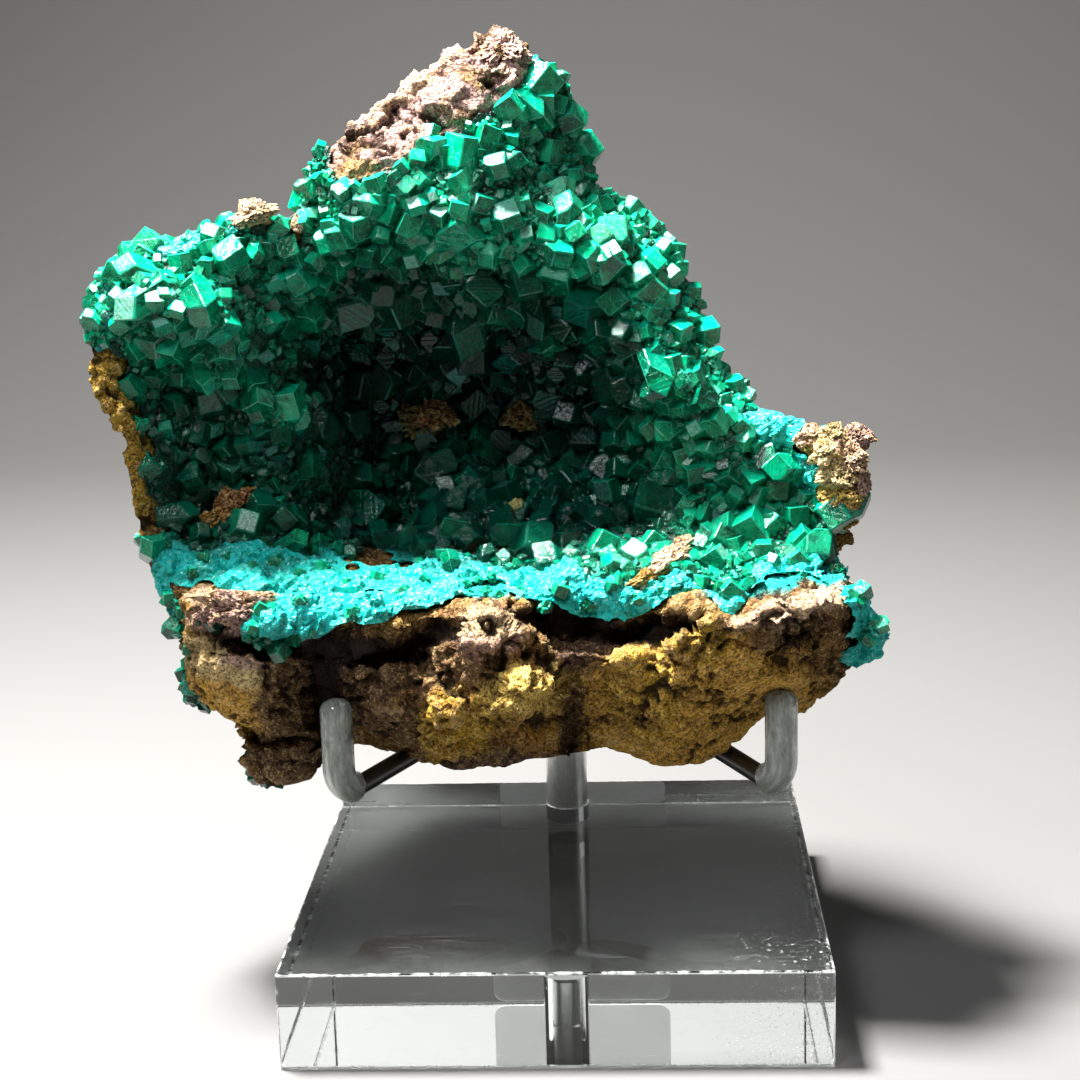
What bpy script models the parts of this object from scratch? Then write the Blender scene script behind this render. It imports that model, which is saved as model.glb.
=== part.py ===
"""Green crystal specimen on its display stand.

A lump of brown gossan with an open vug lined by emerald green dioptase
crystals. It rests in a stand: a clear acrylic block, a steel post and two
bent steel arms whose upturned ends wear plastic sleeves.

Metres, +Z up, +Y to the back. The origin is the centre of the block's
underside.
"""

import math

import bmesh
import bpy
import numpy as np
from mathutils import Matrix, Vector, noise

MM = 0.001
GAP = 0.3
SKIN_GAP = 0.42
MERGE_DISTANCE = 0.02

# Acrylic block
BLOCK_WIDTH = 110.0
BLOCK_DEPTH = 110.0
BLOCK_HEIGHT = 20.0
BLOCK_EDGE = 0.4
BLOCK_EDGE_SEGMENTS = 1
HOLE_OVERRUN = 4.0

# Blank label on the back of the block
LABEL_WIDTH = 41.0
LABEL_HEIGHT = 18.8
LABEL_THICKNESS = 0.3
LABEL_CORNER = 2.6
LABEL_CORNER_SEGMENTS = 4
LABEL_X = 3.2
LABEL_FOOT = 0.6

# Steel post, standing in a blind hole near the back edge
POST_DIAMETER = 9.8
POST_Y = 40.6
POST_HOLE_DEPTH = 11.5
POST_TOP = 60.8
POST_SIDES = 32
POST_TOP_CHAMFER = 0.6
POST_CHAMFER_ANGLE = math.radians(60.0)

# Steel arms
ROD_DIAMETER = 4.2
ROD_SIDES_RESOLUTION = 4
ARM_START = 3.6
BEND_RADIUS = 5.5
BEND_STEPS = 6
SOCKET_OVERRUN = 12.0
LEFT_TIP = (-45.2, -22.0)
RIGHT_TIP = (46.9, -22.0)
LEFT_BEND_HEIGHT = 45.0
RIGHT_BEND_HEIGHT = 45.6
LEFT_POST_HEIGHT = 54.3
RIGHT_POST_HEIGHT = 57.8
LEFT_TIP_TOP = 66.3
RIGHT_TIP_TOP = 66.9

# Plastic sleeves over the upturned ends
SLEEVE_DIAMETER = 6.8
SLEEVE_BORE = 4.8
SLEEVE_CROWN = 2.6
SLEEVE_TAIL = 2.0
SLEEVE_CROWN_STEPS = 4
SLEEVE_FLAT = 0.34

# Specimen relief: across, up and depth are measured on axes that lean
# back by RELIEF_TILT, from a point above the middle of the block
RELIEF_TILT = math.radians(13.0)
RELIEF_ORIGIN = (0.0, 0.0, 110.0)
RELIEF_CENTRE = (-13.0, 1.0)
RELIEF_SOFTNESS = 4.0
RELIEF_SMOOTHING = 1.5
SPHERE_SUBDIVISIONS = 6

# Rock body
BACK_SWELL = 52.0
BACK_SWELL_LOW = 80.0
BACK_LOW_REACH = 42.0
BACK_LEAST = 6.0
BACK_MEAN_DEPTH = -8.0
BACK_EDGE_POWER = 6.0
BROAD_RIM_SPREAD = math.radians(22.0)
BROAD_RIM_STEPS = 360
UNDERSIDE_HEIGHT = 51.0
UNDERSIDE_RISE_BACK = 0.17
UNDERSIDE_RISE_RIGHT = 0.027
UNDERSIDE_FRONT_Y = -8.0
DRUSE_UNDERSIDE_INSET = 5.0
RIM_GROWTH = 0.8
RIM_INSET = 2.6
RIM_BLEND_START = 0.9
DRUSE_THICKNESS = 6.0
DRUSE_FADE = 4.0
DRUSE_BACK_SHARE = 0.9
DRUSE_RIM_LEAD = 0.5
BARE_STEP = 1.4
VOXEL = 1.5
SMOOTH_FACTOR = 0.5
SMOOTH_PASSES = 3
ROCK_LUMP_SIZE = 16.0
ROCK_LUMP_HEIGHT = 1.8
ROCK_GRAIN_SIZE = 6.0
ROCK_GRAIN_HEIGHT = 0.8
DRUSE_CELL_SIZE = 7.5
DRUSE_CELL_HEIGHT = 2.6
ROCK_TRIANGLES = 3050
DRUSE_OUTER_TRIANGLES = 3250

# Edge of the specimen: across, up, depth, and 1 where crystals reach it
OUTLINE = (
    # peak of bare rock, then the crystals to its right
    (-9, 92, -9, 0), (-3, 88, -6, 0), (2, 85, -7, 1), (7, 80, -4, 1),
    (8, 75, -1, 1), (8, 69, 2, 1), (11, 60, 3, 1),
    # right slope
    (21, 57, 3, 1), (23, 50, 3, 1), (27, 48, 1, 1), (29, 43, 2, 1),
    (32, 37, 4, 1), (35, 28, 2, 1), (34, 24, 3, 1), (40, 18, 0, 1),
    (43, 13, -1, 1), (50, 10, -6, 1),
    # right knob of bare rock
    (59, 8, -10, 0), (65, 7, -10, 0), (67, 5, -11, 0), (65, -2, -10, 0),
    (64, -9, -10, 0), (62, -14, -7, 0), (60, -21, -3, 1),
    # right end of the shelf
    (63, -24, -17, 1), (66, -29, -20, 1), (69, -36, -16, 1), (68, -41, -11, 1),
    (63, -45, -4, 0), (57, -50, -1, 0), (52, -55, 3, 0),
    # underside of the rock
    (44, -54, 0, 0), (38, -59, 1, 0), (30, -65, 3, 0), (25, -66, 3, 0),
    (18, -63, 2, 0), (9, -60, 4, 0), (3, -62, 2, 0), (-6, -63, 0, 0),
    (-14, -64, 0, 0), (-24, -65, 1, 0), (-30, -61, 2, 0), (-38, -59, 3, 0),
    # lower left lump
    (-46, -59, 7, 0), (-51, -64, 9, 0), (-56, -68, 7, 0), (-64, -69, 6, 0),
    (-68, -66, 7, 0), (-67, -57, 1, 0), (-72, -51, -5, 0), (-78, -46, -4, 0),
    (-78, -39, -9, 0), (-80, -31, -11, 1), (-83, -23, -11, 1),
    # left edge with its strip of bare rock
    (-86, -15, -13, 0), (-86, -5, -17, 0), (-86, 6, -20, 0), (-90, 15, -22, 0),
    (-93, 21, -23, 0),
    # left lobe
    (-95, 31, -24, 1), (-92, 40, -21, 1), (-85, 46, -19, 1), (-75, 50, -18, 1),
    (-65, 53, -16, 1), (-60, 56, -17, 0), (-57, 53, -14, 1), (-51, 51, -12, 0),
    # shoulder up to the peak
    (-52, 56, -13, 1), (-48, 66, -13, 1), (-42, 70, -12, 0), (-34, 77, -12, 0),
    (-24, 83, -11, 0), (-16, 87, -10, 0), (-12, 91, -9, 0),
)

# Features of the face that shows: name, across, up, depth
FEATURES = (
    ("peak knob", -9, 86, -12), ("peak rock", -19, 76, -16),
    ("bare patch", -29, 69, -16), ("bare patch foot", -39, 62, -18),
    ("peak shoulder", 0, 76, -13), ("right of the peak", 2, 64, -7),
    ("cluster under the peak", -18, 64, -19), ("cluster by the patch", -35, 56, -21),
    ("left cluster", -39, 49, -20), ("large cluster", -14, 48, -21),
    ("back wall top", -27, 40, -1), ("back wall", -10, 32, 3),
    ("back wall cluster", -1, 26, 2), ("back wall right", 9, 35, -2),
    ("slope shoulder", 14, 46, -17), ("slope rim", 23, 40, -9),
    ("slope top", 23, 30, -11), ("slope bulge", 22, 20, -13),
    ("slope low", 31, 16, -12), ("slope foot", 21, 8, 4),
    ("slope corner", 34, 7, -10), ("right wall", 29, -3, 1),
    ("cavity roof", -33, 27, 14), ("cavity centre", -17, 17, 31),
    ("cavity left", -42, 13, 28), ("cavity right", 3, 12, 30),
    ("cavity floor", -19, -1, 25), ("cavity floor right", 10, -5, 15),
    ("cavity top left", -49, 25, 17), ("floor crystal", -3, -13, 15),
    ("floor left", -35, -15, 22), ("floor middle", -50, -6, 16),
    ("cavity mouth", 19, -11, 11),
    ("lobe front", -78, 31, -32), ("lobe top", -77, 41, -26),
    ("lobe middle", -66, 30, -27), ("lobe rim", -69, 47, -19),
    ("lobe right", -57, 45, -12), ("lobe inner", -54, 34, -6),
    ("under the lobe", -75, 20, -11), ("under the lobe left", -86, 21, -17),
    ("bright group", -55, 11, -11), ("left wall", -70, 7, -4),
    ("left wall edge", -82, 7, -16), ("left wall low", -81, -8, -11),
    ("left rock patch", -71, -5, 3), ("white crystal", -64, -11, -8),
    ("left wall inner", -55, -3, 7),
    ("crust left back", -75, -19, -14), ("crust left crown", -60, -18, -12),
    ("crust crown end", -50, -20, -10), ("crust left face", -52, -29, -24),
    ("crust left lip", -54, -36, -26), ("crust outer left", -80, -26, -14),
    ("rock wedge", -63, -27, -27), ("glassy blob", -69, -32, -19),
    ("crust middle back", -35, -23, -13), ("crust middle", -34, -28, -22),
    ("crust middle lip", -34, -33, -26), ("crust centre back", -19, -22, -11),
    ("crust centre lip", -16, -29, -26),
    ("gap left", -53, -40, -9), ("gap left middle", -31, -35, -14),
    ("gap centre", -27, -37, -16), ("shelf right of centre", 2, -25, -21),
    ("gap right", 2, -33, -13), ("gap right end", 18, -33, -15),
    ("crystal row back", 10, -16, -7), ("crystal row", 12, -20, -16),
    ("rock outcrop", 25, -19, -18), ("crust by the outcrop", 22, -27, -25),
    ("crust dip", 34, -30, -28), ("crystal row right", 35, -21, -14),
    ("crust right", 51, -24, -19), ("crust right lip", 50, -27, -25),
    ("floor crystals right", 43, -15, -9), ("floor crystals top", 44, -7, -5),
    ("corner crystals", 54, -17, -10), ("branch crust", 46, 7, -8),
    ("branch crust low", 52, -2, -12), ("branch hole", 50, -2, 3),
    ("right knob", 61, 2, -17), ("right knob low", 60, -8, -15),
    ("behind the knob", 56, -11, 1), ("end lump top", 63, -28, -24),
    ("end lump", 66, -37, -18), ("end hollow", 62, -37, -14),
    ("ridge right", 48, -29, -30), ("ridge end", 58, -30, -28),
    ("face right top", 44, -38, -24), ("face right", 50, -43, -17),
    ("face right low", 49, -49, -9), ("face right foot", 36, -49, -15),
    ("face right middle", 26, -38, -24), ("face lobe foot", 25, -56, -12),
    ("ridge middle", 26, -31, -28), ("dark patch", 12, -40, -17),
    ("crack", 5, -53, -6), ("yellow patch", -4, -43, -27),
    ("yellow crown", -10, -33, -27), ("face centre low", -7, -57, -9),
    ("face left middle", -20, -45, -20), ("face left low", -24, -57, -11),
    ("face left", -33, -45, -16), ("left tip seat", -44, -46, -8),
    ("face left foot", -35, -53, -8), ("recess by the left tip", -47, -53, 0),
    ("lump top", -70, -36, -18), ("lump crown", -65, -40, -20),
    ("lump", -64, -47, -16), ("lump right", -55, -45, -12),
    ("lump low", -56, -56, -4), ("lower lump", -58, -62, -4),
    ("lower lump right", -52, -60, 0),
)

# Region that the crystals cover, as a closed line of across and up
CRYSTAL_REGION = (
    (-83, -23), (-75, -26), (-70, -27), (-66, -29), (-61, -34), (-59, -38),
    (-52, -38), (-43, -34), (-33, -34), (-26, -32), (-19, -31), (-15, -29),
    (-9, -29), (-3, -30), (3, -32), (10, -33), (18, -32), (24, -29),
    (28, -28), (31, -31), (34, -33), (38, -33), (41, -30), (46, -27),
    (53, -26), (59, -27), (61, -31), (64, -37), (63, -41), (60, -43),
    (77, -49), (77, -21), (60, -20), (59, -16), (58, -11), (56, -6),
    (58, -2), (56, 1), (51, 4), (54, 7), (52, 12), (46, 27), (32, 63),
    (12, 88), (2, 85), (-4, 80), (-11, 75), (-13, 71), (-21, 69),
    (-27, 65), (-29, 62), (-35, 62), (-39, 59), (-42, 58), (-45, 63),
    (-49, 71), (-56, 64), (-53, 52), (-51, 49), (-56, 51), (-60, 51),
    (-65, 51), (-79, 60), (-100, 45), (-103, 30), (-95, 27), (-90, 25),
    (-86, 23), (-90, 17), (-85, 8), (-85, 3), (-86, -3), (-82, -10),
    (-85, -12), (-92, -16),
)

# Small groups of crystals on the lower left edge: name, centre, radii
SMALL_GROUPS = (
    ("crystals_left_edge", (-75.6, -7.0, 66.5), (4.4, 6.0, 6.8)),
    ("crystals_low_edge", (-63.9, -2.0, 46.2), (4.4, 5.4, 6.2)),
)
SMALL_GROUP_SUBDIVISIONS = 3
SMALL_GROUP_BUMP = 1.2
SMALL_GROUP_GRAIN = 3.75


def scale_matrix(across, along, up):
    """Return the matrix that scales a mesh by sizes in millimetres."""
    return Matrix.Diagonal((across * MM, along * MM, up * MM, 1.0))


def scaled(point):
    """Turn a point in millimetres into metres."""
    return Vector(point) * MM


def material(name, colour, roughness, metallic=0.0, transmission=0.0, ior=1.5):
    """Make a Principled material from its main values."""
    made = bpy.data.materials.new(name)
    made.use_nodes = True
    shader = made.node_tree.nodes["Principled BSDF"]
    shader.inputs["Base Color"].default_value = (*colour, 1.0)
    shader.inputs["Roughness"].default_value = roughness
    shader.inputs["Metallic"].default_value = metallic
    shader.inputs["Transmission Weight"].default_value = transmission
    shader.inputs["IOR"].default_value = ior
    made.diffuse_color = (*colour, 1.0)
    made.roughness = roughness
    made.metallic = metallic
    return made


def collection(name):
    """Make a collection in the scene."""
    made = bpy.data.collections.new(name)
    bpy.context.scene.collection.children.link(made)
    return made


def place(obj, name, home, finish=None):
    """Name an object, move it to its collection and give it its material."""
    obj.name = name
    obj.data.name = name
    for old in list(obj.users_collection):
        old.objects.unlink(obj)
    home.objects.link(obj)
    if finish is not None:
        obj.data.materials.clear()
        obj.data.materials.append(finish)
    return obj


def hide_cutter(obj):
    """Show a cutting body as wire and keep it out of the picture."""
    obj.hide_render = True
    obj.display_type = "WIRE"
    return obj


def evaluated_mesh(obj):
    """Return a plain mesh of an object with its modifiers applied."""
    graph = bpy.context.evaluated_depsgraph_get()
    return bpy.data.meshes.new_from_object(obj.evaluated_get(graph))


def bake(obj):
    """Apply an object's modifiers, or turn a curve into a mesh."""
    mesh = evaluated_mesh(obj)
    if obj.type == "MESH":
        old = obj.data
        obj.modifiers.clear()
        obj.data = mesh
        bpy.data.meshes.remove(old)
        return obj
    name = obj.name
    home = obj.users_collection[0]
    made = bpy.data.objects.new(name + "_mesh", mesh)
    home.objects.link(made)
    bpy.data.objects.remove(obj)
    made.name = name
    return made


def merge_doubles(obj):
    """Weld points that lie on each other and point the faces outwards."""
    shape = bmesh.new()
    shape.from_mesh(obj.data)
    bmesh.ops.remove_doubles(shape, verts=shape.verts, dist=MERGE_DISTANCE * MM)
    bmesh.ops.recalc_face_normals(shape, faces=shape.faces)
    shape.to_mesh(obj.data)
    shape.free()
    return obj


def keep_largest(obj):
    """Delete all but the largest connected body of a mesh."""
    shape = bmesh.new()
    shape.from_mesh(obj.data)
    waiting = set(shape.verts)
    bodies = []
    while waiting:
        seed = waiting.pop()
        body = {seed}
        edge = [seed]
        while edge:
            point = edge.pop()
            for link in point.link_edges:
                other = link.other_vert(point)
                if other in waiting:
                    waiting.discard(other)
                    body.add(other)
                    edge.append(other)
        bodies.append(body)
    bodies.sort(key=len, reverse=True)
    spare = [point for body in bodies[1:] for point in body]
    bmesh.ops.delete(shape, geom=spare, context="VERTS")
    shape.to_mesh(obj.data)
    shape.free()
    return obj


def cut(obj, cutter):
    """Take one solid out of another."""
    step = obj.modifiers.new("Cut " + cutter.name, "BOOLEAN")
    step.operation = "DIFFERENCE"
    step.solver = "EXACT"
    step.object = cutter
    return step


def swollen_copy(obj, name, home, distance):
    """Copy a solid with its surface moved out along the normals."""
    copy = bpy.data.objects.new(name, obj.data.copy())
    home.objects.link(copy)
    mesh = copy.data
    normals = [Vector(vertex.normal) for vertex in mesh.vertices]
    for vertex, normal in zip(mesh.vertices, normals):
        vertex.co = vertex.co + normal * distance * MM
    return hide_cutter(copy)


def tube(name, points, radius, home, resolution=ROD_SIDES_RESOLUTION, tapers=None):
    """Make a round bar along a line of points, as a closed mesh."""
    curve = bpy.data.curves.new(name, "CURVE")
    curve.dimensions = "3D"
    curve.bevel_depth = radius * MM
    curve.bevel_resolution = resolution - 1
    curve.use_fill_caps = True
    line = curve.splines.new("POLY")
    line.points.add(len(points) - 1)
    for index, point in enumerate(points):
        line.points[index].co = (*(Vector(point) * MM), 1.0)
        line.points[index].radius = 1.0 if tapers is None else tapers[index]
    obj = bpy.data.objects.new(name, curve)
    home.objects.link(obj)
    return merge_doubles(bake(obj))


def post_cylinder(name, home, radius, foot, top):
    """Make an upright cylinder on the post's axis."""
    bpy.ops.mesh.primitive_cylinder_add(
        vertices=POST_SIDES,
        radius=radius * MM,
        depth=(top - foot) * MM,
        location=scaled((0.0, POST_Y, (foot + top) / 2.0)),
    )
    return place(bpy.context.object, name, home)


def build_block(home, cutters, finish):
    """Build the acrylic block with the blind hole for the post."""
    bpy.ops.mesh.primitive_cube_add(size=1.0, location=(0.0, 0.0, BLOCK_HEIGHT * MM / 2.0))
    block = place(bpy.context.object, "acrylic_block", home, finish)
    block.data.transform(scale_matrix(BLOCK_WIDTH, BLOCK_DEPTH, BLOCK_HEIGHT))
    edge = block.modifiers.new("Worn edges", "BEVEL")
    edge.width = BLOCK_EDGE * MM
    edge.segments = BLOCK_EDGE_SEGMENTS
    radius = POST_DIAMETER / 2.0 + GAP
    foot = BLOCK_HEIGHT - POST_HOLE_DEPTH
    hole = post_cylinder("post_hole_cutter", cutters, radius, foot, BLOCK_HEIGHT + HOLE_OVERRUN)
    cut(block, hide_cutter(hole))
    return block


def build_label(home, finish):
    """Build the blank label with its rounded corners."""
    bpy.ops.mesh.primitive_cube_add(size=1.0)
    label = place(bpy.context.object, "blank_label", home, finish)
    label.data.transform(scale_matrix(LABEL_WIDTH, LABEL_THICKNESS, LABEL_HEIGHT))
    label.location = scaled((
        LABEL_X,
        BLOCK_DEPTH / 2.0 + GAP + LABEL_THICKNESS / 2.0,
        LABEL_FOOT + LABEL_HEIGHT / 2.0,
    ))
    shape = bmesh.new()
    shape.from_mesh(label.data)
    corners = [
        edge for edge in shape.edges
        if abs(edge.verts[0].co.y - edge.verts[1].co.y) > abs(edge.verts[0].co.z - edge.verts[1].co.z)
        + abs(edge.verts[0].co.x - edge.verts[1].co.x)
    ]
    bmesh.ops.bevel(
        shape,
        geom=corners,
        offset=LABEL_CORNER * MM,
        segments=LABEL_CORNER_SEGMENTS,
        profile=0.5,
        affect="EDGES",
    )
    shape.to_mesh(label.data)
    shape.free()
    return label


def arm_line(tip, bend_height, post_height, top):
    """Return the centre line of an arm, from the post to its upturned end."""
    foot = Vector((tip[0], tip[1], bend_height))
    root = Vector((0.0, POST_Y, post_height))
    along = (root - foot).normalized()
    upward = Vector((0.0, 0.0, 1.0))
    turn = math.acos(along.dot(upward))
    reach = BEND_RADIUS / math.tan(turn / 2.0)
    corner = foot
    centre_way = (along + upward).normalized()
    centre = corner + centre_way * (BEND_RADIUS / math.sin(turn / 2.0))
    start = corner + along * reach
    end = corner + upward * reach
    line = [root - along * ARM_START]
    first = (start - centre).normalized()
    last = (end - centre).normalized()
    sweep = first.angle(last)
    for step in range(BEND_STEPS + 1):
        share = step / BEND_STEPS
        blend = first * math.sin((1.0 - share) * sweep) + last * math.sin(share * sweep)
        line.append(centre + blend / math.sin(sweep) * BEND_RADIUS)
    line.append(Vector((tip[0], tip[1], top)))
    return line, along


def build_arm(side, tip, bend_height, post_height, top, home, cutters, steel, plastic):
    """Build one arm, its sleeve, and the cutter for its socket in the post."""
    line, along = arm_line(tip, bend_height, post_height, top)
    rod_end = top - SLEEVE_CROWN - GAP * 2.0
    rod_line = line[:-1] + [Vector((tip[0], tip[1], rod_end))]
    arm = tube("arm_" + side, rod_line, ROD_DIAMETER / 2.0, home)
    place(arm, "arm_" + side, home, steel)

    tail = line[1] + along * SLEEVE_TAIL
    radius = SLEEVE_DIAMETER / 2.0
    outer = [tail] + line[1:-1]
    tapers = [1.0] * len(outer)
    for step in range(SLEEVE_CROWN_STEPS + 1):
        angle = math.pi / 2.0 * step / SLEEVE_CROWN_STEPS
        height = top - SLEEVE_CROWN + SLEEVE_CROWN * math.sin(angle)
        outer.append(Vector((tip[0], tip[1], height)))
        tapers.append(max(SLEEVE_FLAT, math.cos(angle)))
    sleeve = tube("sleeve_" + side, outer, radius, home, tapers=tapers)
    place(sleeve, "sleeve_" + side, home, plastic)
    bore_line = [tail + along * SLEEVE_TAIL] + line[1:-1]
    bore_line.append(Vector((tip[0], tip[1], top - SLEEVE_CROWN)))
    bore = tube("bore_cutter_" + side, bore_line, SLEEVE_BORE / 2.0, cutters)
    hide_cutter(bore)
    cut(sleeve, bore)

    root = line[0]
    socket_line = [root + along * GAP, root - along * SOCKET_OVERRUN]
    socket = tube("socket_cutter_" + side, socket_line, ROD_DIAMETER / 2.0 + GAP, cutters)
    hide_cutter(socket)
    return arm, sleeve, socket


def build_post(home, cutters, finish, sockets):
    """Build the steel post with its two shallow sockets."""
    foot = BLOCK_HEIGHT - POST_HOLE_DEPTH + GAP
    post = post_cylinder("post", home, POST_DIAMETER / 2.0, foot, POST_TOP)
    place(post, "post", home, finish)
    rim = post.modifiers.new("Rim", "BEVEL")
    rim.width = POST_TOP_CHAMFER * MM
    rim.segments = 1
    rim.limit_method = "ANGLE"
    rim.angle_limit = POST_CHAMFER_ANGLE
    for socket in sockets:
        cut(post, socket)
    return post


def relief_axes():
    """Return the across, up and depth directions of the relief."""
    across = Vector((1.0, 0.0, 0.0))
    up = Vector((0.0, math.sin(RELIEF_TILT), math.cos(RELIEF_TILT)))
    depth = Vector((0.0, math.cos(RELIEF_TILT), -math.sin(RELIEF_TILT)))
    return across, up, depth


class Relief:
    """The specimen's shape: a face with depth, a rim and a swollen back."""

    def __init__(self):
        points = [(across, up) for across, up, _, _ in OUTLINE]
        depths = [depth for _, _, depth, _ in OUTLINE]
        points += [(across, up) for _, across, up, _ in FEATURES]
        depths += [depth for _, _, _, depth in FEATURES]
        self.points = np.array(points, dtype=float)
        target = np.array(depths, dtype=float)
        self.mean = target.mean()
        spread = self.points[:, None, :] - self.points[None, :, :]
        kernel = np.sqrt((spread ** 2).sum(axis=2) + RELIEF_SOFTNESS ** 2)
        kernel -= np.eye(len(target)) * RELIEF_SMOOTHING
        self.weights = np.linalg.solve(kernel, target - self.mean)
        rim = np.array(OUTLINE, dtype=float)
        offset = rim[:, :2] - np.array(RELIEF_CENTRE)
        angle = np.arctan2(offset[:, 1], offset[:, 0])
        order = np.argsort(angle)
        self.rim_angle = angle[order]
        self.rim_radius = np.hypot(offset[:, 0], offset[:, 1])[order] + RIM_GROWTH
        self.rim_depth = rim[order, 2]
        self.rim_cover = rim[order, 3]
        self.region = np.array(CRYSTAL_REGION, dtype=float)
        self.broad_angle = np.linspace(-math.pi, math.pi, BROAD_RIM_STEPS, endpoint=False)
        radii = self.around(self.broad_angle, self.rim_radius)
        turn = self.broad_angle[:, None] - self.broad_angle[None, :]
        turn = np.abs((turn + math.pi) % (2.0 * math.pi) - math.pi)
        pull = np.exp(-0.5 * (turn / BROAD_RIM_SPREAD) ** 2)
        self.broad_radius = (pull @ radii) / pull.sum(axis=1)

    def around(self, angle, values):
        """Read a rim value at each angle."""
        return np.interp(angle, self.rim_angle, values, period=2.0 * math.pi)

    def dome(self, angle, share, radius):
        """Return how far the back stands out, 0 at the rim and 1 in the middle.

        A notch in the rim cuts only a short way into the back, because the
        height follows the broad outline there.
        """
        broad = np.interp(angle, self.broad_angle, self.broad_radius, period=2.0 * math.pi)
        reach = share * radius / np.maximum(broad, radius)
        edge = 1.0 - share ** BACK_EDGE_POWER
        return np.sqrt(np.clip((1.0 - reach ** 2) * edge, 0.0, 1.0))

    def face_depth(self, spots):
        """Return the depth of the visible face at each across and up."""
        spread = spots[:, None, :] - self.points[None, :, :]
        kernel = np.sqrt((spread ** 2).sum(axis=2) + RELIEF_SOFTNESS ** 2)
        return kernel @ self.weights + self.mean

    def cover(self, spots):
        """Return 1 inside the crystal region, fading to 0 outside it."""
        start = self.region
        end = np.roll(self.region, -1, axis=0)
        inside = np.zeros(len(spots), dtype=bool)
        nearest = np.full(len(spots), np.inf)
        for (x0, y0), (x1, y1) in zip(start, end):
            span = np.array((x1 - x0, y1 - y0))
            share = np.clip(((spots - (x0, y0)) @ span) / (span @ span), 0.0, 1.0)
            foot = np.array((x0, y0)) + share[:, None] * span
            nearest = np.minimum(nearest, np.hypot(*(spots - foot).T))
            if y0 != y1:
                crosses = (spots[:, 1] > min(y0, y1)) & (spots[:, 1] <= max(y0, y1))
                side = x0 + (spots[:, 1] - y0) * (x1 - x0) / (y1 - y0)
                inside ^= crosses & (spots[:, 0] < side)
        signed = np.where(inside, nearest, -nearest)
        return np.clip(signed / DRUSE_FADE, 0.0, 1.0)


def specimen_sphere(name, home):
    """Make the dense sphere that a specimen body is shaped from."""
    bpy.ops.mesh.primitive_ico_sphere_add(subdivisions=SPHERE_SUBDIVISIONS, radius=1.0)
    return place(bpy.context.object, name, home)


def shape_body(obj, relief, crystal_body):
    """Shape a sphere into the rock, or into the body the crystals fill."""
    mesh = obj.data
    ball = np.array([vertex.co for vertex in mesh.vertices])
    angle = np.arctan2(ball[:, 2], ball[:, 0])
    share = np.sqrt(np.clip(1.0 - np.abs(ball[:, 1]), 0.0, 1.0))
    radius = relief.around(angle, relief.rim_radius)
    rim_depth = relief.around(angle, relief.rim_depth)
    rim_cover = relief.around(angle, relief.rim_cover)
    if crystal_body:
        radius = radius - (1.0 - rim_cover) * BARE_STEP
    else:
        radius = radius - rim_cover * RIM_INSET
    spots = np.stack((np.cos(angle), np.sin(angle)), axis=1) * (share * radius)[:, None]
    spots = spots + np.array(RELIEF_CENTRE)
    front = relief.face_depth(spots)
    cover = relief.cover(spots)
    if crystal_body:
        front = front + (1.0 - cover) * BARE_STEP
    else:
        front = front + cover * DRUSE_THICKNESS
    low = np.clip((RELIEF_CENTRE[1] - spots[:, 1]) / BACK_LOW_REACH, 0.0, 1.0)
    swell = BACK_SWELL + (BACK_SWELL_LOW - BACK_SWELL) * low
    if crystal_body:
        swell = swell * DRUSE_BACK_SHARE
        rim_depth = rim_depth - DRUSE_RIM_LEAD
    else:
        rim_depth = rim_depth + rim_cover * RIM_INSET
    back = rim_depth * share ** 2 + BACK_MEAN_DEPTH * (1.0 - share ** 2)
    back = back + swell * relief.dome(angle, share, radius)
    blend = np.clip((share - RIM_BLEND_START) / (1.0 - RIM_BLEND_START), 0.0, 1.0)
    front = front * (1.0 - blend) + rim_depth * blend
    back = np.maximum(back, front + BACK_LEAST * (1.0 - share))
    depth = np.where(ball[:, 1] < 0.0, front, back)
    across, up, away = relief_axes()
    origin = np.array(RELIEF_ORIGIN)
    world = (
        origin
        + spots[:, :1] * np.array(across)
        + spots[:, 1:] * np.array(up)
        + depth[:, None] * np.array(away)
    )
    underside = (
        UNDERSIDE_HEIGHT
        + UNDERSIDE_RISE_BACK * world[:, 1]
        + UNDERSIDE_RISE_RIGHT * world[:, 0]
        + (DRUSE_UNDERSIDE_INSET if crystal_body else 0.0)
    )
    seat = (ball[:, 1] >= 0.0) & (world[:, 1] > UNDERSIDE_FRONT_Y)
    world[:, 2] = np.where(seat, np.maximum(world[:, 2], underside), world[:, 2])
    mesh.vertices.foreach_set("co", (world * MM).ravel())
    mesh.update()
    return obj


def even_mesh(obj):
    """Give a shaped body an even mesh and soften its steps."""
    grid = obj.modifiers.new("Even mesh", "REMESH")
    grid.mode = "VOXEL"
    grid.voxel_size = VOXEL * MM
    soft = obj.modifiers.new("Soften", "SMOOTH")
    soft.factor = SMOOTH_FACTOR
    soft.iterations = SMOOTH_PASSES
    return bake(obj)


def roughen_rock(obj):
    """Add broad lumps and grain to the rock's surface."""
    mesh = obj.data
    normals = [Vector(vertex.normal) for vertex in mesh.vertices]
    for vertex, normal in zip(mesh.vertices, normals):
        spot = vertex.co / MM
        lump = noise.noise(spot / ROCK_LUMP_SIZE) * ROCK_LUMP_HEIGHT
        grain = noise.noise(spot / ROCK_GRAIN_SIZE) * ROCK_GRAIN_HEIGHT
        vertex.co = vertex.co + normal * (lump + grain) * MM
    mesh.update()
    return obj


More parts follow.
